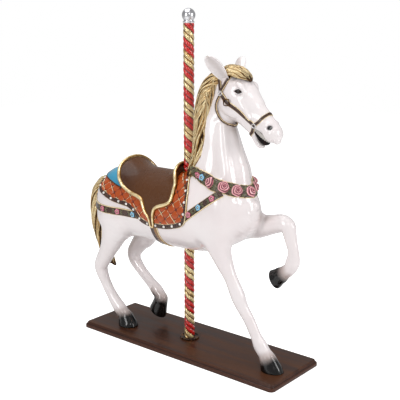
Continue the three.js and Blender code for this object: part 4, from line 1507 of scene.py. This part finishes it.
def enamel(n, look):
    """White enamel: black airbrushed over the hooves, a tan blush above them, dark nostrils, painted shade in
    the folds and soft grey painted shade in the sockets."""
    coat = brushed_coat(n, 13.0, 260.0)
    below = n.plus(n.attribute("hoof"), n.times(n.minus(n.noise(22.0), 0.5), 26.0))
    color = n.layers(
        n.mix(coat["Tone"], look.enamel_shade, look.enamel),
        # Painted shade: grey-brown where skin stands in front of a point, and in the eye sockets.
        (n.level(n.attribute("folds"), 0.2, 0.85, 0.0, 0.75), look.fold),
        (n.level(n.attribute("socket"), 0.15, 1.0, 0.0, 0.35), look.fold),
        (n.level(below, -64.0, -24.0, 0.0, 0.75), look.blush),
        (n.level(below, -36.0, 6.0), look.hoof),
        (n.level(n.attribute("nostril"), 0.22, 0.75), look.hoof))
    return {"Base Color": color, "Roughness": n.level(coat["Tone"], 0, 1, 0.13, 0.19),
            "Normal": n.bump(coat["Height"], 0.0016, 0.5),
            "Coat Weight": n.level(below, -30.0, 6.0, 0.5, 0.05),
            "Coat Roughness": 0.04}


def ear_enamel(n, look):
    """White enamel, shaded inside the cup of the ear."""
    coat = brushed_coat(n, 20.0, 260.0)
    # Painted shade inside the ear's cup.
    deep = n.level(n.plus(n.attribute("inside"), n.times(coat["Tone"], 0.15)), 0.35, 1.1, 0.0, 0.5)
    return {"Base Color": n.mix(deep, look.enamel, look.fold),
            "Roughness": n.level(coat["Tone"], 0, 1, 0.14, 0.2),
            "Normal": n.bump(coat["Height"], 0.001, 0.5), "Coat Weight": 0.5}


def hair_gold(n, look):
    """Antique gold paint, wiped into fine strands that run along each lock, with painted highlights on the
    crests and glaze and painted shade in the grooves.
    """
    fine = n.noise(1.0, 2.0, n.drawn(n.times(n.attribute("strand"), 26.0), n.times(n.attribute("run"), 9.0)))
    depth = n.plus(n.attribute("groove"), n.times(n.minus(0.49, fine), 3.2))
    glaze = glazed(n, depth, tones(look, "gold"), (45.0, 0.6), (0.2, 0.4))
    return {"Base Color": glaze["Color"], "Roughness": glaze["Roughness"], "Normal": n.bump(fine, 0.003),
            "Metallic": 0.6}


def rolled_gold(n, look):
    """Antique gold on rolled edges, with a painted highlight along the crest of the roll and painted shade
    down its sides.
    """
    # Painted light: pale where the roll faces out, darker round its sides.
    groove = n.level(n.apart(n.attribute("turn"), 0.25), 0.05, 0.3, 0.1, 0.9)
    glaze = glazed(n, groove, tones(look, "gold"), (70.0, 0.7), (0.22, 0.45))
    return {"Base Color": glaze["Color"], "Roughness": glaze["Roughness"],
            "Normal": n.bump(n.noise(160.0), 0.001, 0.6), "Metallic": 0.6}


def saddle_leather(n, look):
    """Dark satin leather paint with grain and scuffs, lighter on the seat's top and towards the front as a
    painted highlight, and a deep tone towards the flaps.
    """
    grain = hide_grain(n, 420.0)
    seat = n.level(n.plus(n.attribute("angle"), n.times(grain["Scuff"], -0.08)), 0.35, 0.0)
    # Painted highlight: the seat's top and the saddle's front take the lighter leather.
    wear_and_sheen = n.higher(seat, n.level(n.axis(0), -0.38, -0.2, 0.0, 0.8))
    color = n.layers(look.leather, (wear_and_sheen, look.leather_light),
                     (n.times(grain["Scuff"], 0.1), look.leather_light))
    return {"Base Color": color, "Roughness": n.level(grain["Scuff"], 0, 1, 0.26, 0.4),
            "Normal": n.bump(grain["Height"], 0.0004, 0.45), "Specular IOR Level": 0.2, "Coat Weight": 0.12,
            "Coat Roughness": 0.12}


def quilt_leather(n, look):
    """Orange diamonds: painted highlights on the crowns, glaze and painted shade in the seams, a thin painted
    highlight beside each seam and a double row of stitches."""
    seams = {key: n.attribute(key) for key in ("seam_a", "seam_b")}
    across = {key: n.math("FRACT", seam) for key, seam in seams.items()}
    # Painted highlight: a thin pale line along one side of each seam.
    lit = [n.level(n.apart(across[key], at), 0.035, 0.015) for key,
           at in (("seam_a", 0.08), ("seam_b", 0.92))]
    glint = n.times(n.higher(*lit), n.level(n.noise(26.0), 0.47, 0.58, 0.0, 0.9))
    groove = n.minus(1.0, n.level(n.attribute("puff"), 0.12, 0.66))
    glaze = glazed(n, groove, tones(look, "quilt"), (34.0, 0.42), (0.15, 0.4))
    stitches = []
    for key, other in (("seam_a", "seam_b"), ("seam_b", "seam_a")):
        off = n.apart(across[key], 0.5)
        dash = n.math("FRACT", n.times(seams[other], 9.0))
        row = n.times(n.level(off, 0.425, 0.437), n.level(off, 0.462, 0.45))
        stitches.append(n.times(row, n.level(dash, 0.3, 0.42)))
    thread = n.higher(*stitches)
    color = n.layers(glaze["Color"], (n.times(thread, 0.25), look.quilt_light), (glint, look.gold_light))
    height = n.plus(n.times(hide_grain(n, 520.0)["Height"], 0.25), thread)
    return {"Base Color": color, "Roughness": glaze["Roughness"], "Normal": n.bump(height, 0.0006, 0.5),
            "Specular IOR Level": 0.3, "Coat Weight": 0.35, "Coat Roughness": 0.08}


def patch_leather(n, look):
    """Smooth turquoise paint that deepens towards its edge."""
    coat = brushed_coat(n, 30.0, 300.0)
    edge = n.level(n.math("ABSOLUTE", n.attribute("side")), 0.5, 1.0, 0.0, 0.6)
    color = n.layers(look.patch, (n.times(coat["Tone"], 0.35), look.patch_light), (edge, look.patch_deep))
    return {"Base Color": color, "Roughness": n.level(coat["Tone"], 0, 1, 0.18, 0.3),
            "Normal": n.bump(coat["Height"], 0.0012, 0.5), "Coat Weight": 0.4}


def strap_paint(n, look, golden=0.80, halves=False):
    """Dark leather between gold edges, with glaze and painted shade in the corners beside each gold cord, a
    painted highlight on the cord's crest, and grain along the middle. The gold starts at the place across
    that golden gives, and halves makes one half golden brown."""
    side = n.attribute("side")
    away = n.math("ABSOLUTE", side)
    grain = hide_grain(n, 600.0)
    middle = n.mix(n.times(grain["Scuff"], 0.5), look.strap, look.strap_light)
    if halves:
        middle = n.mix(n.level(side, -0.08, 0.02), middle, look.strap_golden)
    breadth = 1 - golden
    # Painted light: pale on the cord's crest, dark in the corners beside it.
    groove = n.level(n.apart(away, golden + breadth * 0.55), 0.3 * breadth, 0.62 * breadth)
    glaze = glazed(n, groove, tones(look, "gold"), (80.0, 0.5), (0.24, 0.45))
    edge = n.level(away, golden - 0.03, golden + 0.02)
    return {"Base Color": n.mix(edge, middle, glaze["Color"]),
            "Roughness": n.level(grain["Scuff"], 0, 1, 0.24, 0.4),
            "Metallic": n.times(edge, 0.35), "Normal": n.bump(grain["Height"], 0.0003, 0.5),
            "Coat Weight": 0.3}


def bridle_paint(n, look):
    """The bridle's narrow strap: brown between gold edges."""
    return strap_paint(n, look, golden=0.76)


def garland_paint(n, look):
    """The garland's band: dark between thin gold edges."""
    return strap_paint(n, look, golden=0.9)


def girth_paint(n, look):
    """The girth: its rear half dark, its front half golden brown."""
    return strap_paint(n, look, golden=0.86, halves=True)


def pearl_paint(n, look):
    """Pearl white beads, brown round the foot."""
    tone = n.level(n.noise(90.0), 0.35, 0.7, 0.0, 0.4)
    foot = n.level(n.attribute("radial"), 0.86, 1.0)
    return {"Base Color": n.layers(look.pearl, (tone, look.pearl_shade), (foot, look.strap_light)),
            "Roughness": n.level(tone, 0, 0.4, 0.1, 0.2), "Coat Weight": 0.8, "Coat Roughness": 0.04}


def bead_paint(n, look):
    """Long beads between the pearls, lighter on top and dark round the foot."""
    tone_mask = n.level(n.plus(n.attribute("radial"), n.noise(150.0)), 0.5, 1.0)
    return {"Base Color": n.mix(tone_mask, look.strap_light, look.strap),
            "Roughness": n.level(tone_mask, 0, 1, 0.2, 0.35)}


def rose_paint(n, look):
    """Pink petals: a painted highlight at each petal's edge, glaze and painted shade in the creases, and
    deeper painted shade at the heart.
    """
    groove = n.plus(n.level(n.attribute("edge"), 0.72, 0.08),
                    n.level(n.attribute("radial"), 0.0, 0.5, 0.25, 0.0))
    glaze = glazed(n, groove, tones(look, "rose"), (70.0, 0.3), (0.22, 0.4))
    return {"Base Color": glaze["Color"], "Roughness": glaze["Roughness"],
            "Normal": n.bump(n.noise(300.0), 0.0005, 0.5), "Coat Weight": 0.3}


def petal_paint(n, look, petals):
    """A flower button in its three tones: glaze and painted shade about its heart and foot, a painted
    highlight on the crests of its petals.
    """
    radial = n.attribute("radial")
    ring = n.minus(1.0, n.level(n.apart(radial, 0.3), 0.03, 0.16))
    glaze = glazed(n, n.higher(ring, n.level(radial, 0.82, 1.0, 0.0, 0.7)), petals, (160.0, 0.5), (0.2, 0.4))
    return {"Base Color": n.mix(n.level(radial, 0.2, 0.12), glaze["Color"], look.gold_light),
            "Roughness": glaze["Roughness"], "Coat Weight": 0.3}


def pink_paint(n, look):
    """Small pink flowers."""
    return petal_paint(n, look, (look.flower_pink, look.rose, look.rose_deep))


def blue_paint(n, look):
    """Small blue flowers."""
    return petal_paint(n, look, tones(look, "flower"))


def leaf_paint(n, look):
    """Grey-green leaves: a painted highlight on the midrib and edges, glaze and painted shade in the hollows,
    with glaze in patches.
    """
    # Painted light: dark in the leaf's hollows, pale on its midrib and edges.
    fold = n.minus(1.0, n.level(n.apart(n.attribute("radial"), 0.45), 0.05, 0.45))
    glaze = glazed(n, fold, tones(look, "leaf"), (50.0, 1.1), (0.3, 0.5))
    return {"Base Color": glaze["Color"], "Roughness": glaze["Roughness"],
            "Normal": n.bump(n.noise(260.0), 0.0006, 0.5)}


def rope_paint(n, look):
    """Red strands and gold strands, with painted highlights on their crests and glaze and painted shade in
    the valleys; umber lines run along the gold ones.
    """
    streak = n.noise(1.0, 3.0,
                     n.drawn(n.times(n.attribute("twist"), 44.0), n.times(n.attribute("height"), 9.0)))
    # Painted light: dark in the valleys between strands, light on their crests.
    groove = n.level(n.attribute("groove"), 0.3, 1.0)
    lined = n.plus(groove, n.times(n.minus(0.55, streak), 2.0))
    gold = glazed(n, lined, (look.pole_gold, look.gold, look.gold_deep), (60.0, 0.3), (0.16, 0.35))
    red = glazed(n, groove, tones(look, "pole_red"), (30.0, 0.5), (0.1, 0.25))
    mask = n.level(n.attribute("red"), -0.03, 0.03)
    ripple = n.plus(n.noise(70.0), n.times(streak, 0.6))
    return {"Base Color": n.mix(mask, gold["Color"], red["Color"]),
            "Roughness": n.level(mask, 0, 1, 0.2, 0.12),
            "Normal": n.bump(ripple, 0.0022, 0.8), "Metallic": n.level(mask, 0, 1, 0.6, 0.0),
            "Coat Weight": 0.6,
            "Coat Roughness": 0.05}


def chrome(n, look):
    """Polished chrome with faint turning marks and haze."""
    haze, turned = n.noise(40.0, 4.0), n.noise(1.0, 2.0, n.place((12, 12, 900)))
    return {"Base Color": n.mix(n.level(haze, 0.3, 0.7), look.chrome, look.chrome_shade),
            "Roughness": n.level(n.plus(n.times(haze, 0.5), n.times(turned, 0.5)), 0.35, 0.65, 0.2, 0.28),
            "Metallic": 1.0}


def bridle_silver(n, look):
    """Bright plated rings, a little dull in patches."""
    haze = n.noise(200.0)
    return {"Base Color": n.mix(n.level(haze, 0.3, 0.7), look.pearl, look.chrome_shade),
            "Roughness": n.level(haze, 0.3, 0.7, 0.12, 0.3), "Metallic": 0.75}


def aged_bronze(n, look):
    """Dark bronze, rubbed bright in patches."""
    tone_mask = worn_edge(n, n.level(n.noise(25.0, 2.0), 0.4, 0.6), 90.0, 0.62)
    return {"Base Color": n.mix(tone_mask, look.bronze, look.bronze_light),
            "Roughness": n.level(n.noise(60.0, 4.0), 0.3, 0.7, 0.24, 0.45),
            "Normal": n.bump(n.noise(110.0, 4.0), 0.0006, 0.5), "Metallic": 0.55}


def walnut(n, look):
    """Dark stained wood with its grain along the board; reddish on the moulding, orange-brown at the foot, a
    dark line round the moulding's step, and lighter chips along the top edge, as wear and a painted
    highlight."""
    bands, pores = n.noise(1.0, 4.0, n.place((1.6, 26, 26)), 0.6), n.noise(1.0, 2.0, n.place((9, 300, 300)))
    height = n.axis(2)
    grain = n.level(bands, 0.35, 0.65)
    top = n.mix(grain, look.wood, look.wood_light)
    side = n.mix(grain, look.moulding, look.moulding_light)
    foot = n.mix(n.level(bands, 0.3, 0.7), look.foot, look.moulding_light)
    line = n.times(n.level(height, 0.0172, 0.0184), n.level(height, 0.0206, 0.019))
    # Wear and painted highlight: lighter chips along the board's top edge.
    wear_and_sheen = worn_edge(n, n.level(height, 0.026, 0.03), 150.0, 0.86)
    color = n.layers(
        foot, (n.level(height, 0.0165, 0.0185), side), (n.level(height, 0.0262, 0.0295), top),
        (n.times(line, 0.8), look.hoof), (n.level(pores, 0.62, 0.72, 0.0, 0.45), look.hoof),
        (n.times(wear_and_sheen, 0.4), look.moulding_light))
    return {"Base Color": color, "Roughness": n.level(bands, 0.3, 0.7, 0.3, 0.44),
            "Normal": n.bump(n.minus(bands, n.times(pores, 0.4)), 0.0005, 0.35), "Specular IOR Level": 0.3,
            "Coat Weight": 0.05}


def mouth_paint(n, look):
    """The mouth's black lining, with a little red in patches."""
    return {"Base Color": n.mix(n.level(n.noise(30.0, 2.0), 0.4, 0.7, 0.0, 0.5), look.hoof, look.mouth),
            "Roughness": n.level(n.noise(60.0), 0.3, 0.7, 0.35, 0.6), "Specular IOR Level": 0.15}


def eye_paint(n, look):
    """A glossy eye: black pupil, brown iris, dark rim."""
    radial = n.attribute("radial")
    pupil = n.level(n.plus(radial, n.times(n.noise(400.0), 0.1)), 0.38, 0.46)
    return {"Base Color": n.layers(look.hoof, (pupil, look.iris), (n.level(radial, 0.62, 0.78), look.hoof)),
            "Roughness": 0.1, "Specular IOR Level": 0.35, "Coat Weight": 0.15}


def teeth_paint(n, look):
    """Greyish teeth with dark gaps."""
    gap = n.level(n.plus(n.attribute("swell"), n.times(n.noise(220.0), 0.12)), 0.62, 0.3)
    return {"Base Color": n.mix(gap, look.teeth, look.teeth_shade), "Roughness": n.level(gap, 0, 1, 0.2, 0.5)}


def floor_paint(n, look):
    """A pale, even studio floor, which the camera sees as white."""
    white = (1, 1, 1, 1)
    return {"Base Color": n.mix(n.level(n.noise(1.5, 2.0), 0.3, 0.7), (0.97, 0.97, 0.97, 1), white),
            "Emission Color": white, "Emission Strength": n.times(n.seen(), 0.8), "Roughness": 0.9,
            "Specular IOR Level": 0.1}


def finish(fill):
    """The material that the function fills in, made on its first use."""
    mat = bpy.data.materials.get(fill.__name__)
    if mat is None:
        mat = bpy.data.materials.new(fill.__name__)
        mat.use_nodes = True
        n, shader = Nodes(mat.node_tree), mat.node_tree.nodes["Principled BSDF"]
        for key, value in fill(n, bpy.context.scene.carousel_finishes).items():
            n.join(value, shader.inputs[key])
    return mat


# ---------------------------------------------------------------- sizes and colours a user may change


def colour(name, description, code):
    """A colour property, from its hex code."""
    return bpy.props.FloatVectorProperty(
        name=name, description=description, subtype="COLOR", size=4, min=0.0, max=1.0, default=tint(code))


def length(name, description, default, low, high):
    """A length property, in metres."""
    return bpy.props.FloatProperty(
        name=name, description=description, subtype="DISTANCE", unit="LENGTH", default=default, min=low,
        max=high,
        precision=4)


class CarouselFinishes(bpy.types.PropertyGroup):
    """Colours of the paints, leathers and metals"""

    enamel: colour("Enamel", "White of the horse", "#EFE8E8")
    enamel_shade: colour("Enamel Shade", "Slightly darker white that drifts through the enamel", "#EAE0E0")
    # Painted shade in the folds, eye sockets and ear cups.
    fold: colour("Fold Shade", "Grey-brown airbrushed into folds and ear cups", "#A3958F")
    blush: colour("Blush", "Airbrushed tan above the hooves", "#A08C84")
    hoof: colour("Hoof Black", "Black of the hooves, nostrils and lining", "#050404")
    gold: colour("Gold", "Antique gold of mane, tail and edges", "#B4823A")
    # Painted highlight on gold crests and beside the quilt's seams; also the flower hearts' own gold.
    gold_light: colour("Gold Light", "Gold on the crests", "#FFECBC")
    # Glaze and painted shade in the gold's grooves.
    gold_deep: colour("Gold Glaze", "Umber glaze in the gold's grooves", "#44280C")
    leather: colour("Saddle", "Saddle leather", "#3C1F0E")
    # Painted highlight on the seat's top and front; also the scuffs.
    leather_light: colour("Saddle Light", "Worn part of the seat", "#5C381E")
    quilt: colour("Quilt", "Orange of the quilted cloth", "#7E2A0A")
    # Painted highlight on the diamonds' crowns; also the stitches.
    quilt_light: colour("Quilt Light", "Crowns of the diamonds", "#AE4A18")
    # Glaze and painted shade in the seams.
    quilt_deep: colour("Quilt Glaze", "Seams between the diamonds", "#2C0C04")
    patch: colour("Patch", "Turquoise patch behind the saddle", "#3A9CC0")
    patch_light: colour("Patch Light", "Lighter turquoise", "#5CB2D0")
    patch_deep: colour("Patch Edge", "Deeper turquoise at the edge", "#2B7C9C")
    strap: colour("Strap", "Dark strap leather", "#3C2115")
    strap_light: colour("Strap Light", "Scuffed strap leather", "#5A3A28")
    strap_golden: colour("Girth Front", "Golden brown of the girth's front half", "#8A5F26")
    pearl: colour("Pearl", "Pearls", "#F2EFEA")
    pearl_shade: colour("Pearl Shade", "Darker pearl tone", "#CFC8C0")
    rose: colour("Rose", "Rose petals", "#B24A60")
    # Painted highlight on the petals' edges.
    rose_light: colour("Rose Light", "Petal edges", "#EEB0B4")
    # Glaze and painted shade in the creases and at the heart.
    rose_deep: colour("Rose Glaze", "Creases between petals", "#4A0E22")
    # Painted highlight on the pink flowers' crests.
    flower_pink: colour("Pink Flower", "Crests of the small pink flowers", "#D27E92")
    flower: colour("Blue Flower", "Blue petals", "#3F86B5")
    # Painted highlight on the blue petals' crests.
    flower_light: colour("Blue Flower Light", "Pale blue petal crests", "#8FC4DE")
    # Glaze and painted shade in the blue flowers' creases.
    flower_deep: colour("Blue Flower Glaze", "Deep blue creases", "#16344E")
    leaf: colour("Leaf", "Grey-green leaves", "#4A4A30")
    # Painted highlight on the leaves' ribs and edges.
    leaf_light: colour("Leaf Light", "Pale leaf ribs", "#8E8A62")
    # Glaze and painted shade in the leaves' hollows.
    leaf_deep: colour("Leaf Glaze", "Dark leaf folds", "#14160E")
    pole_red: colour("Pole Red", "Red strands", "#A00C0A")
    # Painted highlight on the red strands' crests.
    pole_red_light: colour("Pole Red Light", "Red on the crests", "#C41E18")
    # Glaze and painted shade in the valleys.
    pole_red_deep: colour("Pole Red Glaze", "Red in the valleys", "#300404")
    # Painted highlight on the gold strands' crests.
    pole_gold: colour("Pole Gold", "Pale gold strands", "#EBD9A6")
    chrome: colour("Chrome", "Finial metal", "#EDEDEF")
    chrome_shade: colour("Chrome Shade", "Hazed finial metal", "#C9C9CE")
    bronze: colour("Bronze", "Flange", "#33211A")
    bronze_light: colour("Bronze Light", "Rubbed flange", "#7A563A")
    wood: colour("Board", "Top of the board", "#351B10")
    wood_light: colour("Board Light", "Lighter grain on top", "#502E18")
    moulding: colour("Moulding", "Reddish brown moulding", "#2E170F")
    moulding_light: colour("Moulding Light", "Lighter moulding grain", "#4A2818")
    foot: colour("Foot", "Orange-brown lower edge", "#432313")
    mouth: colour("Mouth", "Back of the mouth", "#3A1512")
    iris: colour("Iris", "Brown of the eyes", "#2E1A10")
    teeth: colour("Teeth", "Teeth", "#B9B4AE")
    teeth_shade: colour("Teeth Gaps", "Dark gaps between the teeth", "#2A2422")


class CarouselSizes(bpy.types.PropertyGroup):
    """Sizes of the trim"""

    rim: length("Rim Radius", "Radius of the saddle's rolled rim", 0.0094, 0.004, 0.012)
    pearl: length("Pearl Radius", "Radius of each pearl on the cloth's edge", 0.0066, 0.003, 0.008)
    pearl_gap: length("Pearl Spacing", "Distance between pearls", 0.052, 0.03, 0.09)
    cloth_edge: length("Cloth Edge", "Width of the band along the quilted cloth", 0.025, 0.015, 0.035)
    breeching: length("Breeching", "Width of the strap round the rump", 0.038, 0.02, 0.045)
    breast: length("Breast Strap", "Width of the breast straps", 0.036, 0.02, 0.04)
    girth: length("Girth", "Width of the girth", 0.046, 0.03, 0.06)
    garland: length("Garland", "Width of the leafy band round the neck", 0.060, 0.04, 0.07)
    rose: length("Rose Radius", "Radius of the garland's roses", 0.028, 0.015, 0.03)
    flower: length("Flower Radius", "Radius of the small flowers", 0.0152, 0.006, 0.018)
    leaf: length("Leaf Size", "Half length of the garland's leaves", 0.015, 0.006, 0.02)
    ring: length("Ring Radius", "Radius of the bridle rings", 0.009, 0.005, 0.014)


def power(name, description, default):
    """A lamp's power, in watts."""
    return bpy.props.FloatProperty(
        name=name, description=description, default=default, min=0.0, unit="POWER", subtype="POWER")


class CarouselStudio(bpy.types.PropertyGroup):
    """Light for the picture"""

    sky: bpy.props.FloatProperty(
        name="Sky", description="Strength of the even white light", default=0.4, min=0.0, max=3.0,
        subtype="FACTOR")
    left: power("Left Box", "Power of the soft box on the left", 34.0)
    right: power("Right Box", "Power of the soft box on the right", 32.0)
    front: power("Front Box", "Power of the small soft box in front", 14.0)
    above: power("Top Box", "Power of the overhead soft box", 36.0)
    lens: bpy.props.FloatProperty(
        name="Lens", description="Focal length of the camera, in millimetres", default=71.751, min=20.0,
        max=200.0)


# ---------------------------------------------------------------- operators, one for each piece or group


class MakesPiece:
    """What the operators share: undo, and the user's sizes in mm."""

    bl_options = {"REGISTER", "UNDO"}

    def mm(self, context, key):
        """One of the user's sizes."""
        return getattr(context.scene.carousel_sizes, key) / MM


class CAROUSEL_OT_body(MakesPiece, bpy.types.Operator):
    """Carve the horse's body, head, legs and hooves"""

    bl_idname = "carousel.body"
    bl_label = "Carved Body"

    def execute(self, context):
        piece(body_mesh(), enamel, "horse_enamel", "horse")
        return {"FINISHED"}


class CAROUSEL_OT_ears(MakesPiece, bpy.types.Operator):
    """Cup the two ears"""

    bl_idname = "carousel.ears"
    bl_label = "Ears"

    def execute(self, context):
        for name, side in (("ear_right", -1), ("ear_left", 1)):
            piece(ear_mesh(name, side), ear_enamel, "horse_enamel")
        return {"FINISHED"}


class CAROUSEL_OT_face(MakesPiece, bpy.types.Operator):
    """Set the eyes, lids, mouth lining and teeth"""

    bl_idname = "carousel.face"
    bl_label = "Eyes and Mouth"

    def execute(self, context):
        eyes, lids = make_eyes()
        mouth, teeth = make_mouth()
        piece(eyes, eye_paint, "hoof_black")
        piece(lids, ear_enamel, "horse_enamel")
        piece(mouth, mouth_paint, "hoof_black")
        piece(teeth, teeth_paint, "pearl_white")
        return {"FINISHED"}


class CAROUSEL_OT_hair(MakesPiece, bpy.types.Operator):
    """Wind the locks of the mane, forelock and tail"""

    bl_idname = "carousel.hair"
    bl_label = "Mane, Forelock and Tail"

    def execute(self, context):
        for hair in (make_mane(), make_forelock(), make_tail()):
            piece(hair, hair_gold, "gilding")
        return {"FINISHED"}


class CAROUSEL_OT_quilt(MakesPiece, bpy.types.Operator):
    """Lay the quilted cloth and the smooth patch with its piping"""

    bl_idname = "carousel.quilt"
    bl_label = "Quilted Cloth"

    def execute(self, context):
        patch, piping = make_patch()
        piece(make_quilt(), quilt_leather, "cloth_orange")
        piece(patch, patch_leather, "cloth_blue")
        piece(piping, rolled_gold, "gilding")
        return {"FINISHED"}


class CAROUSEL_OT_pearls(MakesPiece, bpy.types.Operator):
    """Edge the quilted cloth with a band, pearls and long beads"""

    bl_idname = "carousel.pearls"
    bl_label = "Pearl Edging"

    def execute(self, context):
        pearls, beads = Pile(), Pile()
        gap, radius = self.mm(context, "pearl_gap"), self.mm(context, "pearl")
        for tag, b in zip(("near", "far"), edge_band(self.mm(context, "cloth_edge"))):
            piece(make_strap("quilt_edge_" + tag, b, 3.0, 1.8), strap_paint, "strap_brown")
            pearls.scatter(pearl_template(), *places_on(b, gap, 14.0, 0.0, 3.4), radius)
            for shift in (0.33, 0.67):
                beads.scatter(bead_template(), *places_on(b, gap, 14.0 + gap * shift, 0.0, 3.0), radius)
        piece(pearls.done("pearls"), pearl_paint, "pearl_white")
        piece(beads.done("edge_beads"), bead_paint, "strap_brown")
        return {"FINISHED"}


class CAROUSEL_OT_saddle(MakesPiece, bpy.types.Operator):
    """Shape the saddle and its rolled rim"""

    bl_idname = "carousel.saddle"
    bl_label = "Saddle"

    def execute(self, context):
        piece(make_saddle(), saddle_leather, "saddle_brown")
        piece(make_saddle_rim(self.mm(context, "rim")), rolled_gold, "gilding")
        return {"FINISHED"}


class CAROUSEL_OT_harness(MakesPiece, bpy.types.Operator):
    """Buckle on the breeching, breast straps and girth with their flowers and leaves"""

    bl_idname = "carousel.harness"
    bl_label = "Harness"

    def execute(self, context):
        size = self.mm(context, "flower")
        flowers = {"rose": Pile(), "blue": Pile(), "leaf": Pile()}
        b = breeching_band(self.mm(context, "breeching"))
        piece(make_strap("breeching", b, 4.0), strap_paint, "strap_brown")
        decorate(flowers, b, BREECHING_FLOWERS, size)
        for tag, side in (("near", 1), ("far", -1)):
            b = breast_band(side, self.mm(context, "breast"))
            piece(make_strap("breast_strap_" + tag, b, 4.0), strap_paint, "strap_brown")
            decorate(flowers, b, BREAST_FLOWERS, size)
        piece(make_strap("girth", girth_band(self.mm(context, "girth")), 4.0), girth_paint, "strap_brown")
        piece(flowers["rose"].done("strap_flowers_pink"), pink_paint, "rose_pink")
        piece(flowers["blue"].done("strap_flowers_blue"), blue_paint, "flower_blue")
        piece(flowers["leaf"].done("strap_leaves"), leaf_paint, "leaf_green")
        return {"FINISHED"}


class CAROUSEL_OT_garland(MakesPiece, bpy.types.Operator):
    """Hang the leafy garland with its roses round the root of the neck"""

    bl_idname = "carousel.garland"
    bl_label = "Garland"

    def execute(self, context):
        b, turn = garland_band(self.mm(context, "garland"))
        piece(make_strap("garland", b, 5.0, 0.5, 5.0), garland_paint, "leaf_green")
        roses, buds = Pile(), {"rose": Pile(), "blue": Pile()}
        for t in ROSE_TURNS:
            roses.scatter(rose_template(), *on_garland(b, turn, t, 5.0), self.mm(context, "rose"))
        for t, kind in BUD_TURNS:
            buds[kind].scatter(flower_template(), *on_garland(b, turn, t, 6.0),
                               self.mm(context, "flower") * 1.1)
        piece(garland_leaves(b, self.mm(context, "leaf")), leaf_paint, "leaf_green")
        piece(roses.done("roses"), rose_paint, "rose_pink")
        piece(buds["rose"].done("garland_flowers_pink"), pink_paint, "rose_pink")
        piece(buds["blue"].done("garland_flowers_blue"), blue_paint, "flower_blue")
        return {"FINISHED"}


class CAROUSEL_OT_bridle(MakesPiece, bpy.types.Operator):
    """Fit the bridle straps, rings and buckles"""

    bl_idname = "carousel.bridle"
    bl_label = "Bridle"

    def execute(self, context):
        for name, (line, width) in bridle_lines().items():
            b = band(line, width, "skull", across=9, step=4.0)
            piece(make_strap("bridle_" + name, b, 3.0, 1.0, 3.0), bridle_paint, "strap_brown")
        rings, buckles = make_bridle_metal(self.mm(context, "ring"))
        piece(rings, bridle_silver, "finial_chrome")
        piece(buckles, rolled_gold, "gilding")
        return {"FINISHED"}


class CAROUSEL_OT_pole(MakesPiece, bpy.types.Operator):
    """Twist the pole and cap it with its finial"""

    bl_idname = "carousel.pole"
    bl_label = "Pole and Finial"

    def execute(self, context):
        piece(make_pole(), rope_paint, "pole_paint", "pole")
        piece(make_finial(), chrome, "finial_chrome", "finial")
        return {"FINISHED"}


class CAROUSEL_OT_stand(MakesPiece, bpy.types.Operator):
    """Mould the stand and set the flange on it"""

    bl_idname = "carousel.stand"
    bl_label = "Stand and Flange"

    def execute(self, context):
        piece(make_flange(), aged_bronze, "flange_bronze", "flange")
        piece(make_stand(), walnut, "stand_wood", "stand")
        return {"FINISHED"}


class CAROUSEL_OT_stage(MakesPiece, bpy.types.Operator):
    """Set up the floor, sky, soft boxes and camera"""

    bl_idname = "carousel.stage"
    bl_label = "Studio"

    def execute(self, context):
        light = context.scene.carousel_studio
        corners = [(-FLOOR, -FLOOR, -1), (FLOOR, -FLOOR, -1), (FLOOR, FLOOR, -1), (-FLOOR, FLOOR, -1)]
        floor = mesh_object("floor", corners, [(0, 1, 2, 3)])
        floor.data.materials.append(finish(floor_paint))
        make_camera(light.lens)
        make_sky(light.sky)
        for side, (place, size) in BOXES.items():
            soft_box("box_" + side, place, size, getattr(light, side))
        context.scene.view_settings.view_transform = "Standard"
        return {"FINISHED"}


OPERATORS = (
    CAROUSEL_OT_stage, CAROUSEL_OT_body, CAROUSEL_OT_ears, CAROUSEL_OT_face, CAROUSEL_OT_hair,
    CAROUSEL_OT_quilt,
    CAROUSEL_OT_pearls, CAROUSEL_OT_saddle, CAROUSEL_OT_harness, CAROUSEL_OT_garland, CAROUSEL_OT_bridle,
    CAROUSEL_OT_pole, CAROUSEL_OT_stand,
)


class CAROUSEL_PT_pieces(bpy.types.Panel):
    """The carousel horse's pieces, sizes and colours"""

    bl_label = "Carousel Horse"
    bl_idname = "CAROUSEL_PT_pieces"
    bl_space_type = "VIEW_3D"
    bl_region_type = "UI"
    bl_category = "Carousel"

    def draw(self, context):
        for operator in OPERATORS:
            self.layout.operator(operator.bl_idname)
        for key in GROUPS:
            box = self.layout.box()
            group = getattr(context.scene, key)
            for name in group.bl_rna.properties.keys():
                if name not in ("rna_type", "name"):
                    box.prop(group, name)


GROUPS = {"carousel_finishes": CarouselFinishes, "carousel_sizes": CarouselSizes,
          "carousel_studio": CarouselStudio}


def register():
    for cls in (*GROUPS.values(), *OPERATORS, CAROUSEL_PT_pieces):
        bpy.utils.register_class(cls)
    for key, cls in GROUPS.items():
        setattr(bpy.types.Scene, key, bpy.props.PointerProperty(type=cls))


def unregister():
    for key in GROUPS:
        delattr(bpy.types.Scene, key)
    for cls in (CAROUSEL_PT_pieces, *reversed(OPERATORS), *GROUPS.values()):
        bpy.utils.unregister_class(cls)


def main():
    """Makes every piece in order."""
    register()
    for operator in OPERATORS:
        group, name = operator.bl_idname.split(".")
        getattr(getattr(bpy.ops, group), name)()


if __name__ == "__main__":
    main()
